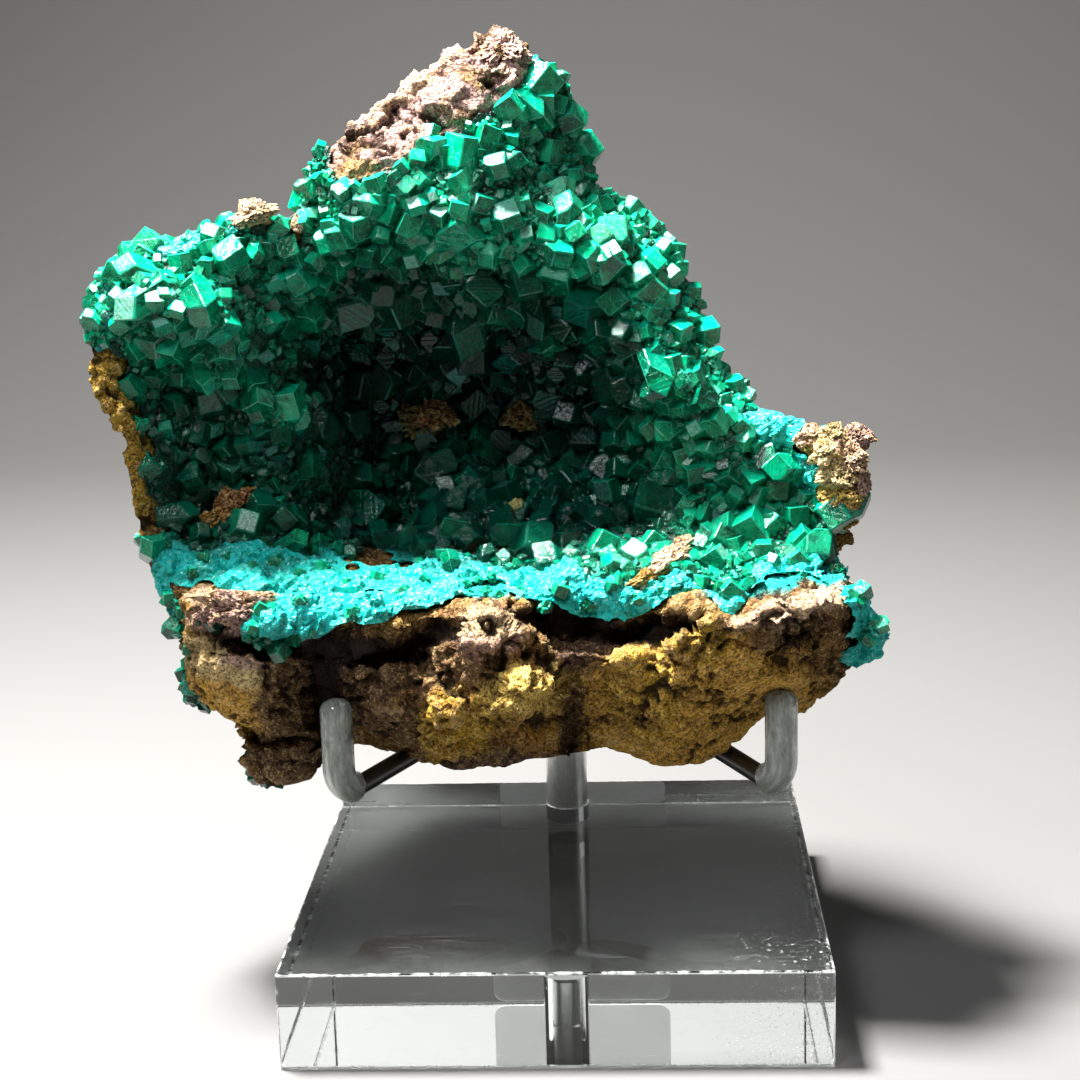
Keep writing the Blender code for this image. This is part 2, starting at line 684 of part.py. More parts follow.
def roughen_crystals(obj):
    """Raise crystal-sized points over the druse."""
    mesh = obj.data
    normals = [Vector(vertex.normal) for vertex in mesh.vertices]
    for vertex, normal in zip(mesh.vertices, normals):
        spot = vertex.co / MM / DRUSE_CELL_SIZE
        nearest = noise.voronoi(spot)[0][0]
        rise = (0.5 - nearest) * DRUSE_CELL_HEIGHT
        vertex.co = vertex.co + normal * rise * MM
    mesh.update()
    return obj


def thin_out(obj, triangles):
    """Reduce a mesh to about a number of triangles."""
    mesh = obj.data
    now = sum(len(face.vertices) - 2 for face in mesh.polygons)
    step = obj.modifiers.new("Thin out", "DECIMATE")
    step.ratio = min(1.0, triangles / now)
    return keep_largest(bake(obj))


def build_specimen(home, cutters, rock_finish, crystal_finish, rods):
    """Build the rock, the druse that lines its vug and the small groups."""
    relief = Relief()
    rock = specimen_sphere("gossan_rock", home)
    shape_body(rock, relief, crystal_body=False)
    even_mesh(rock)
    roughen_rock(rock)
    thin_out(rock, ROCK_TRIANGLES)
    radius = POST_DIAMETER / 2.0 + GAP
    seat = post_cylinder("post_seat_cutter", cutters, radius, BLOCK_HEIGHT, POST_TOP + GAP)
    cut(rock, hide_cutter(seat))
    bake(rock)
    for part in rods:
        cut(rock, swollen_copy(part, part.name + "_clearance", cutters, GAP))
        bake(rock)
    keep_largest(rock)
    merge_doubles(rock)
    place(rock, "gossan_rock", home, rock_finish)

    skin = swollen_copy(rock, "rock_skin_cutter", cutters, SKIN_GAP)
    druse = specimen_sphere("dioptase_druse", home)
    shape_body(druse, relief, crystal_body=True)
    even_mesh(druse)
    roughen_crystals(druse)
    thin_out(druse, DRUSE_OUTER_TRIANGLES)
    cut(druse, skin)
    bake(druse)
    keep_largest(druse)
    merge_doubles(druse)
    place(druse, "dioptase_druse", home, crystal_finish)

    druse_skin = swollen_copy(druse, "druse_skin_cutter", cutters, SKIN_GAP)
    made = [rock, druse]
    for name, centre, radii in SMALL_GROUPS:
        bpy.ops.mesh.primitive_ico_sphere_add(
            subdivisions=SMALL_GROUP_SUBDIVISIONS,
            radius=1.0,
            location=scaled(centre),
        )
        group = place(bpy.context.object, name, home, crystal_finish)
        group.data.transform(scale_matrix(*radii))
        for vertex in group.data.vertices:
            spot = (vertex.co / MM + Vector(centre)) / SMALL_GROUP_GRAIN
            rise = noise.noise(spot) * SMALL_GROUP_BUMP
            vertex.co = vertex.co + vertex.co.normalized() * rise * MM
        cut(group, skin)
        cut(group, druse_skin)
        bake(group)
        keep_largest(group)
        merge_doubles(group)
        made.append(group)
    return made


def main():
    """Build every piece of the specimen and its stand."""
    for old in list(bpy.data.objects):
        bpy.data.objects.remove(old)
    home = collection("specimen_on_stand")
    cutters = collection("cutters")
    acrylic = material("clear_acrylic", (0.86, 0.90, 0.90), 0.04, transmission=1.0, ior=1.49)
    paper = material("label_paper", (0.90, 0.91, 0.89), 0.60)
    steel = material("brushed_steel", (0.46, 0.46, 0.44), 0.34, metallic=1.0)
    plastic = material("sleeve_plastic", (0.30, 0.31, 0.28), 0.28)
    gossan = material("gossan", (0.34, 0.22, 0.08), 0.92)
    dioptase = material("dioptase", (0.01, 0.24, 0.14), 0.12, transmission=0.5, ior=1.66)

    build_block(home, cutters, acrylic)
    build_label(home, paper)
    left = build_arm(
        "left", LEFT_TIP, LEFT_BEND_HEIGHT, LEFT_POST_HEIGHT, LEFT_TIP_TOP,
        home, cutters, steel, plastic,
    )
    right = build_arm(
        "right", RIGHT_TIP, RIGHT_BEND_HEIGHT, RIGHT_POST_HEIGHT, RIGHT_TIP_TOP,
        home, cutters, steel, plastic,
    )
    post = build_post(home, cutters, steel, (left[2], right[2]))
    rods = [left[0], right[0], left[1], right[1]]
    for part in [post, *rods]:
        bake(part)
    build_specimen(home, cutters, gossan, dioptase, rods)


main()
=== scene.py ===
"""The looks of a green crystal specimen on its display stand.

A lump of brown gossan holds an open vug lined with emerald dioptase. It sits
on a steel post and two bent steel arms in a clear acrylic block. Everything
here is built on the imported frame: metres, +Z up, +Y to the back.
"""

from __future__ import annotations

import logging
import math
from dataclasses import dataclass
from enum import Enum
from typing import Any, Iterable, Sequence

import bmesh
import bpy
import numpy as np
from mathutils import Matrix, Quaternion, Vector, noise
from mathutils.bvhtree import BVHTree

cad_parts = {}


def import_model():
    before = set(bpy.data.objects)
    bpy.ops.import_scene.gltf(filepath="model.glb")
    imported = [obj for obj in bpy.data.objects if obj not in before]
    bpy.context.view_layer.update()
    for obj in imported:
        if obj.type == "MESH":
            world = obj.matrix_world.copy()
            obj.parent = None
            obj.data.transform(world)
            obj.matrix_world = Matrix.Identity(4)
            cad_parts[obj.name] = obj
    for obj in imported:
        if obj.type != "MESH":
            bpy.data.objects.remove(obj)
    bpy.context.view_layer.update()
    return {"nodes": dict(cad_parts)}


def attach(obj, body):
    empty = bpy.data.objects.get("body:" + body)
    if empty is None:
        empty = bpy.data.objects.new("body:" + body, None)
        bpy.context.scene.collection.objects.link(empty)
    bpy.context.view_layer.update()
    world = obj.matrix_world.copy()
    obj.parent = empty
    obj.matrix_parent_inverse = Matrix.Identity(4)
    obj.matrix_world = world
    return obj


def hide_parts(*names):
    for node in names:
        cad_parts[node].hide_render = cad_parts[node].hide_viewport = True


LOG = logging.getLogger("specimen")
MM = 0.001
PHOTO_SIDE = 1080.0
TIP_SLOPE = 1.233
KEY_PLACE = (-0.20, 0.02, 0.70)
FRONT_PLACE = (-0.28, -0.46, 0.76)
Colour = tuple[float, float, float]


# Node trees


class Term:
    """A number socket that takes part in Python arithmetic."""

    def __init__(self, tree: "Tree", socket: bpy.types.NodeSocket) -> None:
        """Wrap a socket of a tree.

        Args:
            tree: The tree that the socket belongs to.
            socket: The output socket to wrap.
        """
        self.tree = tree
        self.socket = socket

    def _math(self, operation: str, *values: Any, clamp: bool = False) -> "Term":
        """Add a Math node and return its result."""
        made = self.tree.node("ShaderNodeMath", {"operation": operation, "use_clamp": clamp}, dict(enumerate(values)))
        return Term(self.tree, made.outputs[0])

    def __add__(self, other: Any) -> "Term":
        """Return the sum."""
        return self._math("ADD", self, other)

    def __radd__(self, other: Any) -> "Term":
        """Return the sum."""
        return self._math("ADD", other, self)

    def __sub__(self, other: Any) -> "Term":
        """Return the difference."""
        return self._math("SUBTRACT", self, other)

    def __rsub__(self, other: Any) -> "Term":
        """Return the difference, the other way round."""
        return self._math("SUBTRACT", other, self)

    def __mul__(self, other: Any) -> "Term":
        """Return the product."""
        return self._math("MULTIPLY", self, other)

    def __rmul__(self, other: Any) -> "Term":
        """Return the product."""
        return self._math("MULTIPLY", other, self)

    def __pow__(self, other: Any) -> "Term":
        """Return the power."""
        return self._math("POWER", self, other)

    def largest(self, other: Any) -> "Term":
        """Return the larger of two numbers."""
        return self._math("MAXIMUM", self, other)

    def size(self) -> "Term":
        """Return the number without its sign."""
        return self._math("ABSOLUTE", self)

    def step(self, low: float, high: float) -> "Term":
        """Return a smooth step from 0 at low to 1 at high.

        Args:
            low: The value that gives 0.
            high: The value that gives 1.

        Returns:
            The stepped number.
        """
        made = self.tree.node(
            "ShaderNodeMapRange",
            {"interpolation_type": "SMOOTHSTEP"},
            {"Value": self, "From Min": low, "From Max": high, "To Min": 0.0, "To Max": 1.0},
        )
        return Term(self.tree, made.outputs[0])


class Tree:
    """A node tree that is being wired."""

    def __init__(self, tree: bpy.types.NodeTree) -> None:
        """Start wiring a tree.

        Args:
            tree: The shader or geometry tree.
        """
        self.tree = tree

    def feed(self, socket: bpy.types.NodeSocket, value: Any) -> None:
        """Give a socket a value or a link.

        Args:
            socket: The input socket.
            value: A Term, an output socket, or a plain value.
        """
        if isinstance(value, Term):
            value = value.socket
        if isinstance(value, bpy.types.NodeSocket):
            self.tree.links.new(value, socket)
            return
        if socket.type == "RGBA" and len(value) == 3:
            value = (*value, 1.0)
        socket.default_value = value

    def node(
        self,
        kind: str,
        settings: dict[str, Any] | None = None,
        inputs: dict[str | int, Any] | None = None,
    ) -> bpy.types.Node:
        """Add a node.

        Args:
            kind: The node's type name.
            settings: Its settings, set first. The key "ramp" holds colour stops.
            inputs: Values or links, by socket name, identifier or number.

        Returns:
            The new node.
        """
        made = self.tree.nodes.new(kind)
        for name, value in (settings or {}).items():
            if name == "ramp":
                self._stops(made.color_ramp, value)
            else:
                setattr(made, name, value)
        for key, value in (inputs or {}).items():
            self.feed(self._find(made.inputs, key), value)
        return made

    @staticmethod
    def _find(sockets: Any, key: str | int) -> bpy.types.NodeSocket:
        """Find a socket by its number, identifier or name."""
        if isinstance(key, int):
            return sockets[key]
        for socket in sockets:
            if socket.identifier == key:
                return socket
        return sockets[key]

    @staticmethod
    def _stops(ramp: bpy.types.ColorRamp, stops: Sequence[tuple[float, Colour]]) -> None:
        """Set a colour ramp's stops."""
        while len(ramp.elements) < len(stops):
            ramp.elements.new(1.0)
        for element, (place, colour) in zip(ramp.elements, stops):
            element.position = place
            element.color = (*colour, 1.0)

    def out(self, node: bpy.types.Node, key: str | int = 0) -> Term:
        """Wrap one of a node's outputs."""
        return Term(self, self._find(node.outputs, key))

    def mix(self, factor: Any, first: Any, second: Any, blend: str = "MIX") -> Term:
        """Mix two colours.

        Args:
            factor: The share of the second colour.
            first: A colour or a link.
            second: A colour or a link.
            blend: How the colours are put together.

        Returns:
            The mixed colour.
        """
        made = self.node(
            "ShaderNodeMix",
            {"data_type": "RGBA", "blend_type": blend, "clamp_factor": True},
            {"Factor_Float": factor, "A_Color": first, "B_Color": second},
        )
        return self.out(made, "Result_Color")

    def vector(self, operation: str, first: Any, second: Any) -> Term:
        """Do vector arithmetic on two vectors."""
        made = self.node("ShaderNodeVectorMath", {"operation": operation}, {0: first, 1: second})
        return self.out(made)

    def noise(self, place: Any, scale: float, detail: float = 3.0, rough: float = 0.5) -> Term:
        """Return a soft noise between 0 and 1.

        Args:
            place: The coordinates.
            scale: Features per unit of the coordinates.
            detail: How many finer layers there are.
            rough: How strong the finer layers are.

        Returns:
            The noise value.
        """
        made = self.node(
            "ShaderNodeTexNoise",
            {},
            {"Vector": place, "Scale": scale, "Detail": detail, "Roughness": rough},
        )
        return self.out(made, 0)

    def cells(self, place: Any, scale: float, metric: str = "EUCLIDEAN") -> bpy.types.Node:
        """Add a cell pattern: output 0 is the distance, output 1 a colour per cell."""
        return self.node(
            "ShaderNodeTexVoronoi", {"distance": metric}, {"Vector": place, "Scale": scale}
        )


class Surface(Tree):
    """A material with one Principled shader."""

    def __init__(self, name: str) -> None:
        """Make the material.

        Args:
            name: The material's name.
        """
        self.material = bpy.data.materials.new(name)
        self.material.use_nodes = True
        super().__init__(self.material.node_tree)
        self.shader = self.tree.nodes["Principled BSDF"]
        place = self.node("ShaderNodeTexCoord").outputs["Object"]
        self.place = self.vector("MULTIPLY", place, (1.0 / MM, 1.0 / MM, 1.0 / MM))

    def attribute(self, name: str, output: str = "Fac") -> Term:
        """Read an attribute of the mesh."""
        made = self.node("ShaderNodeAttribute", {"attribute_name": name})
        return Term(self, made.outputs[output])

    def set(self, **values: Any) -> None:
        """Set inputs of the shader; underscores stand for spaces."""
        for name, value in values.items():
            self.feed(self.shader.inputs[name.replace("_", " ")], value)

    def bump(self, height: Any, depth: float, strength: float = 1.0, over: Any = None) -> Term:
        """Return a normal bent by a height.

        Args:
            height: The height pattern, 0 to 1.
            depth: How deep the pattern is, in metres.
            strength: How strongly it shows.
            over: A normal that this one is laid over.

        Returns:
            The bent normal.
        """
        inputs = {"Height": height, "Distance": depth, "Strength": strength}
        if over is not None:
            inputs["Normal"] = over
        return self.out(self.node("ShaderNodeBump", {}, inputs), "Normal")


# Finishes


@dataclass(frozen=True)
class GossanFinish:
    """Crumbly iron-stained rock, tinted by the mesh's tone colour, with painted light on its raised relief and painted
    shade in its hollows and low grains.
    """

    grain_depth: float = 1.0 * MM

    def build(self) -> bpy.types.Material:
        """Return the material."""
        skin = Surface("gossan")
        tone = skin.attribute("tone", "Color")
        hollow = skin.attribute("hollow")
        broad = skin.noise(skin.place, 0.11, 3.0, 0.6)
        middle = skin.noise(skin.place, 0.45, 3.0, 0.65)
        fine = skin.noise(skin.place, 1.5, 3.0, 0.75)
        grains = skin.cells(skin.place, 1.25)
        grain_tint = skin.out(skin.node("ShaderNodeSeparateColor", {}, {0: skin.out(grains, 1)}), 0)
        level = skin.out(skin.node("ShaderNodeSeparateColor", {}, {0: tone}), 0).step(0.02, 0.14)
        slanted = skin.node(
            "ShaderNodeMapping", {"vector_type": "TEXTURE"},
            {"Vector": skin.place, "Rotation": (0.0, -0.6, 0.2), "Scale": (7.0, 1.0, 1.0)},
        )
        bands = skin.noise(skin.out(slanted), 0.55, 2.0, 0.65)
        rusty = skin.mix(broad.step(0.50, 0.66) * 0.55 * level, tone, (0.20, 0.085, 0.03))
        golden = skin.mix(middle.step(0.54, 0.70) * 0.4 * level, rusty, (0.58, 0.35, 0.05))
        striped = skin.mix(bands.step(0.52, 0.66) * 0.55 * level, golden, (0.11, 0.06, 0.022))
        # Painted shade: the bump's low grains are darkened.
        painted_grain_shade = skin.mix(fine.step(0.56, 0.36) * 0.8, striped, (0.04, 0.022, 0.011))
        crumbs = grain_tint.step(0.45, 1.0) * fine.step(0.42, 0.60)
        light = skin.mix(crumbs * 0.5 * level, painted_grain_shade, (0.84, 0.60, 0.28))
        # Painted light on the raised relief.
        painted_top_light = skin.mix(hollow.step(0.52, 0.85) * 0.45 * level, light, (0.90, 0.64, 0.32))
        # Painted shade in the hollows of the relief.
        pits = skin.mix(hollow.step(0.44, 0.20) * 0.9, painted_top_light, (0.022, 0.013, 0.008))
        skin.set(Base_Color=pits, Roughness=0.96 - grain_tint.step(0.9, 1.0) * 0.35)
        skin.set(Specular_IOR_Level=0.12)
        relief = (1.0 - skin.out(grains)) * 0.7 + fine * 1.3
        skin.set(Normal=skin.bump(relief, self.grain_depth))
        return skin.material


@dataclass(frozen=True)
class CrustFinish:
    """Fine turquoise crystal crust that turns to dark green in the vug, with painted highlights and glints on its
    relief and painted shade in its hollows.
    """

    facet_scale: float = 1.0
    facet_depth: float = 0.30 * MM

    def build(self) -> bpy.types.Material:
        """Return the material."""
        skin = Surface("turquoise_crust")
        crust = skin.attribute("crust")
        hollow = skin.attribute("hollow")
        shade = skin.attribute("shade")
        facets = skin.cells(skin.place, self.facet_scale, "CHEBYCHEV")
        finer = skin.cells(skin.place, self.facet_scale * 2.7, "CHEBYCHEV")
        per_facet = skin.out(skin.node("ShaderNodeSeparateColor", {}, {0: skin.out(finer, 1)}), 0)
        broad = skin.noise(skin.place, 0.13, 2.0, 0.6)
        middle = skin.noise(skin.place, 0.5, 3.0, 0.65)
        turquoise = skin.mix(shade * 0.6 + per_facet * 0.4, (0.0, 0.22, 0.18), (0.005, 0.54, 0.48))
        cyan = skin.mix(broad.step(0.45, 0.62) * 0.8, turquoise, (0.012, 0.60, 0.57))
        green = skin.mix(middle.step(0.57, 0.72) * 0.75, cyan, (0.0, 0.32, 0.17))
        # Painted highlight on the raised relief.
        painted_highlight = skin.mix(hollow.step(0.55, 0.85) * 0.3, green, (0.09, 0.80, 0.75))
        # Painted glints: scattered facets are made near-white.
        painted_glints = skin.mix(per_facet.step(0.91, 0.97) * middle.step(0.44, 0.58) * 0.55, painted_highlight, (0.75, 0.97, 0.95))
        # Painted shade in the hollows.
        shadow = skin.mix(hollow.step(0.38, 0.12) * 0.75, painted_glints, (0.0, 0.10, 0.085))
        deep = skin.mix(per_facet, (0.0, 0.010, 0.006), (0.0, 0.040, 0.022))
        skin.set(Base_Color=skin.mix(crust, deep, shadow), Roughness=0.20 + per_facet * 0.35)
        skin.set(IOR=1.6, Specular_IOR_Level=0.3)
        coarse = skin.bump(skin.out(facets), self.facet_depth)
        skin.set(Normal=skin.bump(skin.out(finer), self.facet_depth * 0.5, 0.9, coarse))
        return skin.material


@dataclass(frozen=True)
class CrystalFinish:
    """Clear emerald dioptase, paler where the mesh's tone is high, with painted light on up-facing faces and edges and
    painted shade at feet and sides.
    """

    name: str = "dioptase"
    clearness: float = 0.5

    def build(self) -> bpy.types.Material:
        """Return the material."""
        skin = Surface(self.name)
        tone = skin.attribute("tone")
        shade = skin.attribute("shade")
        edge = skin.attribute("edge")
        frost = skin.attribute("frost")
        clouds = skin.noise(skin.place, 0.30, 3.0, 0.6)
        etch = skin.noise(skin.place, 1.5, 3.0, 0.7)
        flaws = skin.cells(skin.place, 0.45, "MANHATTAN")
        flaw_tint = skin.out(skin.node("ShaderNodeSeparateColor", {}, {0: skin.out(flaws, 1)}), 1)
        bent = skin.vector("ADD", skin.place, etch * 1.2)
        cracks = skin.node("ShaderNodeTexVoronoi", {"feature": "DISTANCE_TO_EDGE"}, {"Vector": bent, "Scale": 0.30})
        veins = 1.0 - skin.out(cracks).step(0.0, 0.045)
        lift = skin.out(
            skin.node("ShaderNodeSeparateXYZ", {}, {0: skin.node("ShaderNodeNewGeometry").outputs["Normal"]}), 2
        )
        upward = lift.step(0.25, 0.95)
        facet = skin.attribute("facet")
        rise = skin.attribute("rise")
        foot = rise.step(0.05, 0.75)
        stripe = skin.node("ShaderNodeCombineXYZ", {}, {0: rise * 11.0, 1: shade * 37.0, 2: facet * 23.0})
        steps = skin.noise(skin.out(stripe), 1.0, 2.0, 0.6)
        # Painted shade: the tone is lowered towards each crystal's foot and on faces turned aside or down.
        tone_with_painted_shade = tone * (foot * 0.6 + 0.4) * (lift.step(-0.4, 0.7) * 0.45 + 0.6)
        deep = skin.mix(shade, (0.0, 0.006, 0.004), (0.0, 0.030, 0.020))
        bright = skin.mix(shade * 0.5 + facet * 0.5, (0.0, 0.28, 0.09), (0.0, 0.88, 0.40))
        body = skin.mix(tone_with_painted_shade, deep, bright)
        inner = skin.mix(flaw_tint.step(0.50, 0.95) * (tone_with_painted_shade * 0.6 + 0.02), body, (0.0, 0.72, 0.34))
        shaded = skin.mix(clouds.step(0.52, 0.34) * 0.6, inner, (0.0, 0.05, 0.03))
        # Painted highlight: the worn edges are painted paler, as glints along the edges.
        painted_edge_glint = skin.mix(edge * (tone * 0.30 + 0.04), shaded, (0.08, 0.90, 0.66))
        veined = skin.mix(veins * etch.step(0.45, 0.6) * (tone * 0.45 + 0.01), painted_edge_glint, (0.22, 0.95, 0.80))
        # Painted light: faces that look up get a pale turquoise veil, strongest where the tone is high.
        painted_upward_light = (clouds.step(0.50, 0.70) * 0.3 + upward * 0.5) * tone
        painted_upward_lit = skin.mix(painted_upward_light, veined, (0.004, 0.78, 0.52))
        # Whitened tip faces: partly real etching, partly a painted reflection of a lamp's glare.
        frost_and_glare_white = frost * (etch.step(0.36, 0.56) * 0.6 + 0.2) * (tone * 1.1 - 0.10).largest(0.02)
        skin.set(
            Base_Color=skin.mix(frost_and_glare_white, painted_upward_lit, (0.42, 0.78, 0.72)),
            Roughness=0.05 + etch.step(0.46, 0.66) * 0.12 + frost * (etch * 0.5 + 0.1) * (tone * 1.2) + veins * 0.1,
        )
        skin.set(Specular_IOR_Level=0.18)
        skin.set(Transmission_Weight=self.clearness, IOR=1.66)
        skin.set(Normal=skin.bump(etch * 0.9 + steps * 1.4, 0.24 * MM, 0.7))
        return skin.material


@dataclass(frozen=True)
class SteelFinish:
    """Drawn steel bar with fine lines along its length."""

    name: str
    base: Colour
    roughness: float

    def build(self) -> bpy.types.Material:
        """Return the material."""
        skin = Surface(self.name)
        spots = skin.node("ShaderNodeUVMap").outputs[0]
        lines = skin.vector("MULTIPLY", spots, (90.0, 0.35, 1.0))
        drawn = skin.noise(lines, 1.0, 4.0, 0.6)
        blotch = skin.noise(skin.place, 0.2, 3.0, 0.5)
        dark = tuple(0.55 * value for value in self.base)
        skin.set(
            Base_Color=skin.mix(drawn.step(0.3, 0.7) * 0.5 + blotch * 0.3, self.base, dark),
            Roughness=self.roughness + drawn * 0.18 - blotch * 0.06,
        )
        skin.set(Metallic=1.0)
        skin.set(Normal=skin.bump(drawn, 0.02 * MM, 0.6))
        return skin.material


@dataclass(frozen=True)
class SleeveFinish:
    """Grey-green see-through plastic sleeve, with painted light and dark reflection streaks along its length."""

    base: Colour = (0.50, 0.54, 0.49)

    def build(self) -> bpy.types.Material:
        """Return the material."""
        skin = Surface("sleeve_plastic")
        spots = skin.node("ShaderNodeUVMap").outputs[0]
        lines = skin.vector("MULTIPLY", spots, (16.0, 0.22, 1.0))
        streak = skin.noise(lines, 1.0, 3.0, 0.6)
        specks = skin.noise(skin.place, 1.3, 4.0, 0.7)
        # Painted highlight: pale streaks along the sleeve.
        painted_highlight = skin.mix(streak.step(0.50, 0.66) * 0.8, self.base, (0.86, 0.90, 0.84))
        # Painted reflection: dark streaks along the sleeve.
        painted_dark_streaks = skin.mix(streak.step(0.46, 0.30) * 0.7, painted_highlight, (0.16, 0.17, 0.14))
        skin.set(Base_Color=painted_dark_streaks, Roughness=0.05 + specks.step(0.60, 0.80) * 0.15)
        skin.set(Transmission_Weight=0.65, IOR=1.46)
        skin.set(Normal=skin.bump(streak, 0.04 * MM, 0.3))
        return skin.material


@dataclass(frozen=True)
class BeadFinish:
    """Golden, glassy and a little rough."""

    def build(self) -> bpy.types.Material:
        """Return the material."""
        skin = Surface("golden_bead")
        grain = skin.noise(skin.place, 2.2, 4.0, 0.7)
        skin.set(Base_Color=skin.mix(grain.step(0.4, 0.65), (0.14, 0.12, 0.02), (0.62, 0.60, 0.22)))
        skin.set(Roughness=0.18 + grain * 0.3)
        skin.set(Normal=skin.bump(grain, 0.15 * MM, 0.8))
        return skin.material


@dataclass(frozen=True)
class AcrylicFinish:
    """Clear acrylic with worn, whitish edges and fine scratches."""

    half_width: float = 55.0
    half_depth: float = 55.0
    height: float = 20.0

    def build(self) -> bpy.types.Material:
        """Return the material."""
        skin = Surface("clear_acrylic")
        parts = skin.node("ShaderNodeSeparateXYZ", {}, {0: skin.place})
        across = self.half_width - skin.out(parts, 0).size()
        along = self.half_depth - skin.out(parts, 1).size()
        upper = self.height * 0.5 - (skin.out(parts, 2) - self.height * 0.5).size()
        wobble = skin.noise(skin.place, 0.9, 3.0, 0.75)
        near_x = 1.0 - (across - wobble * 0.8).step(0.0, 0.25)
        near_y = 1.0 - (along - wobble * 0.8).step(0.0, 0.25)
        near_z = 1.0 - (upper - wobble * 0.8).step(0.0, 0.25)
        edges = near_x * near_y + near_y * near_z + near_x * near_z
        broken = skin.noise(skin.place, 0.22, 3.0, 0.8).step(0.42, 0.62)
        scratch_way = skin.node(
            "ShaderNodeMapping", {}, {"Vector": skin.place, "Rotation": (0.0, 0.0, 0.9), "Scale": (0.08, 3.2, 0.6)}
        )
        scratch = skin.noise(skin.out(scratch_way), 1.0, 3.0, 0.6)
        smears = skin.noise(skin.place, 0.14, 3.0, 0.7).step(0.40, 0.70)
        nicks = wobble.step(0.60, 0.68) * skin.out(parts, 0).step(24.0, 56.0)
        scuffs = scratch.step(0.57, 0.68) * smears * 0.10 + nicks * 0.40
        worn = edges * broken * 0.42 + scuffs
        skin.set(Base_Color=(0.93, 0.965, 0.96), Roughness=scratch.step(0.5, 0.8) * 0.05 + 0.008)
        skin.set(Transmission_Weight=1.0, IOR=1.49)
        white = skin.node("ShaderNodeBsdfPrincipled", {}, {"Base Color": (0.86, 0.88, 0.88), "Roughness": 0.6})
        joined = skin.node("ShaderNodeMixShader", {}, {0: worn, 1: skin.shader.outputs[0], 2: white.outputs[0]})
        end = skin.tree.nodes["Material Output"]
        skin.tree.links.new(joined.outputs[0], end.inputs["Surface"])
        return skin.material


@dataclass(frozen=True)
class LabelFinish:
    """Blank white label, a little mottled where its glue shows."""

    base: Colour = (1.0, 1.0, 1.0)

    def build(self) -> bpy.types.Material:
        """Return the material."""
        skin = Surface("label_paper")
        mottle = skin.noise(skin.place, 0.32, 5.0, 0.7)
        fibre = skin.noise(skin.place, 2.4, 3.0, 0.6)
        skin.set(
            Base_Color=skin.mix(mottle.step(0.4, 0.7) * 0.5 + fibre * 0.1, self.base, (0.80, 0.84, 0.85)),
            Roughness=0.35 + mottle.step(0.35, 0.65) * 0.4,
        )
        skin.set(Transmission_Weight=0.72, IOR=1.05)
        skin.set(Normal=skin.bump(fibre, 0.03 * MM, 0.5))
        return skin.material


@dataclass(frozen=True)
class PlainFinish:
    """A plain pale surface for the studio."""

    name: str
    base: Colour
    roughness: float = 0.7

    def build(self) -> bpy.types.Material:
        """Return the material."""
        skin = Surface(self.name)
        soft = skin.noise(skin.place, 0.01, 2.0, 0.5)
        skin.set(Base_Color=skin.mix(soft * 0.12, self.base, (0.15, 0.15, 0.15)), Roughness=self.roughness)
        return skin.material


# The photograph's camera


@dataclass(frozen=True)
class ViewPoint:
    """The camera: its place, its axes and its lens."""

    place: tuple[float, float, float] = (0.017607, -0.419629, 0.190537)
    right: tuple[float, float, float] = (0.998714, 0.042131, -0.028203)
    up: tuple[float, float, float] = (0.018053, 0.224293, 0.974354)
    ahead: tuple[float, float, float] = (-0.047376, 0.973611, -0.223244)
    focal: float = 2014.55
    sensor: float = 36.0

    def build(self) -> bpy.types.Object:
        """Make the camera and make it the scene's own."""
        lens = bpy.data.cameras.new("view")
        lens.sensor_fit = "HORIZONTAL"
        lens.sensor_width = self.sensor
        lens.lens = self.focal / PHOTO_SIDE * self.sensor
        lens.clip_start = 0.01
        camera = bpy.data.objects.new("view", lens)
        bpy.context.scene.collection.objects.link(camera)
        back = -Vector(self.ahead)
        turn = Matrix((Vector(self.right), Vector(self.up), back)).transposed()
        camera.matrix_world = Matrix.Translation(self.place) @ turn.to_4x4()
        bpy.context.scene.camera = camera
        return camera

    def project(self, points: np.ndarray) -> tuple[np.ndarray, np.ndarray]:
        """Return where points fall in the photograph.

        Args:
            points: Points in metres, one a row.

        Returns:
            The pixels across and down.
        """
        offset = points - np.array(self.place)
        reach = offset @ np.array(self.ahead)
        half = PHOTO_SIDE / 2.0
        across = half + self.focal * (offset @ np.array(self.right)) / reach
        down = half - self.focal * (offset @ np.array(self.up)) / reach
        return across, down

    def ray(self, across: float, down: float) -> tuple[Vector, Vector]:
        """Return the line of sight through a pixel."""
        half = PHOTO_SIDE / 2.0
        way = (
            Vector(self.ahead) * self.focal
            + Vector(self.right) * (across - half)
            + Vector(self.up) * (half - down)
        )
        return Vector(self.place), way.normalized()


VIEW = ViewPoint()


@dataclass(frozen=True)
class Spot:
    """A soft-edged oval on the face that the camera sees, in its pixels."""

    name: str
    across: float
    down: float
    wide: float
    tall: float
    turn: float = 0.0

    def weight(self, pixels: tuple[np.ndarray, np.ndarray], soft: float = 0.35) -> np.ndarray:
        """Return 1 inside the oval, fading to 0 around it.

        Args:
            pixels: The points' pixels, across and down.
            soft: The width of the fade, as a share of the oval.

        Returns:
            A weight for each point.
        """
        side = pixels[0] - self.across
        fall = pixels[1] - self.down
        angle = math.radians(self.turn)
        long_way = (side * math.cos(angle) + fall * math.sin(angle)) / self.wide
        short_way = (fall * math.cos(angle) - side * math.sin(angle)) / self.tall
        reach = np.hypot(long_way, short_way)
        share = np.clip((1.0 + soft / 2.0 - reach) / soft, 0.0, 1.0)
        return share * share * (3.0 - 2.0 * share)


# Mesh helpers


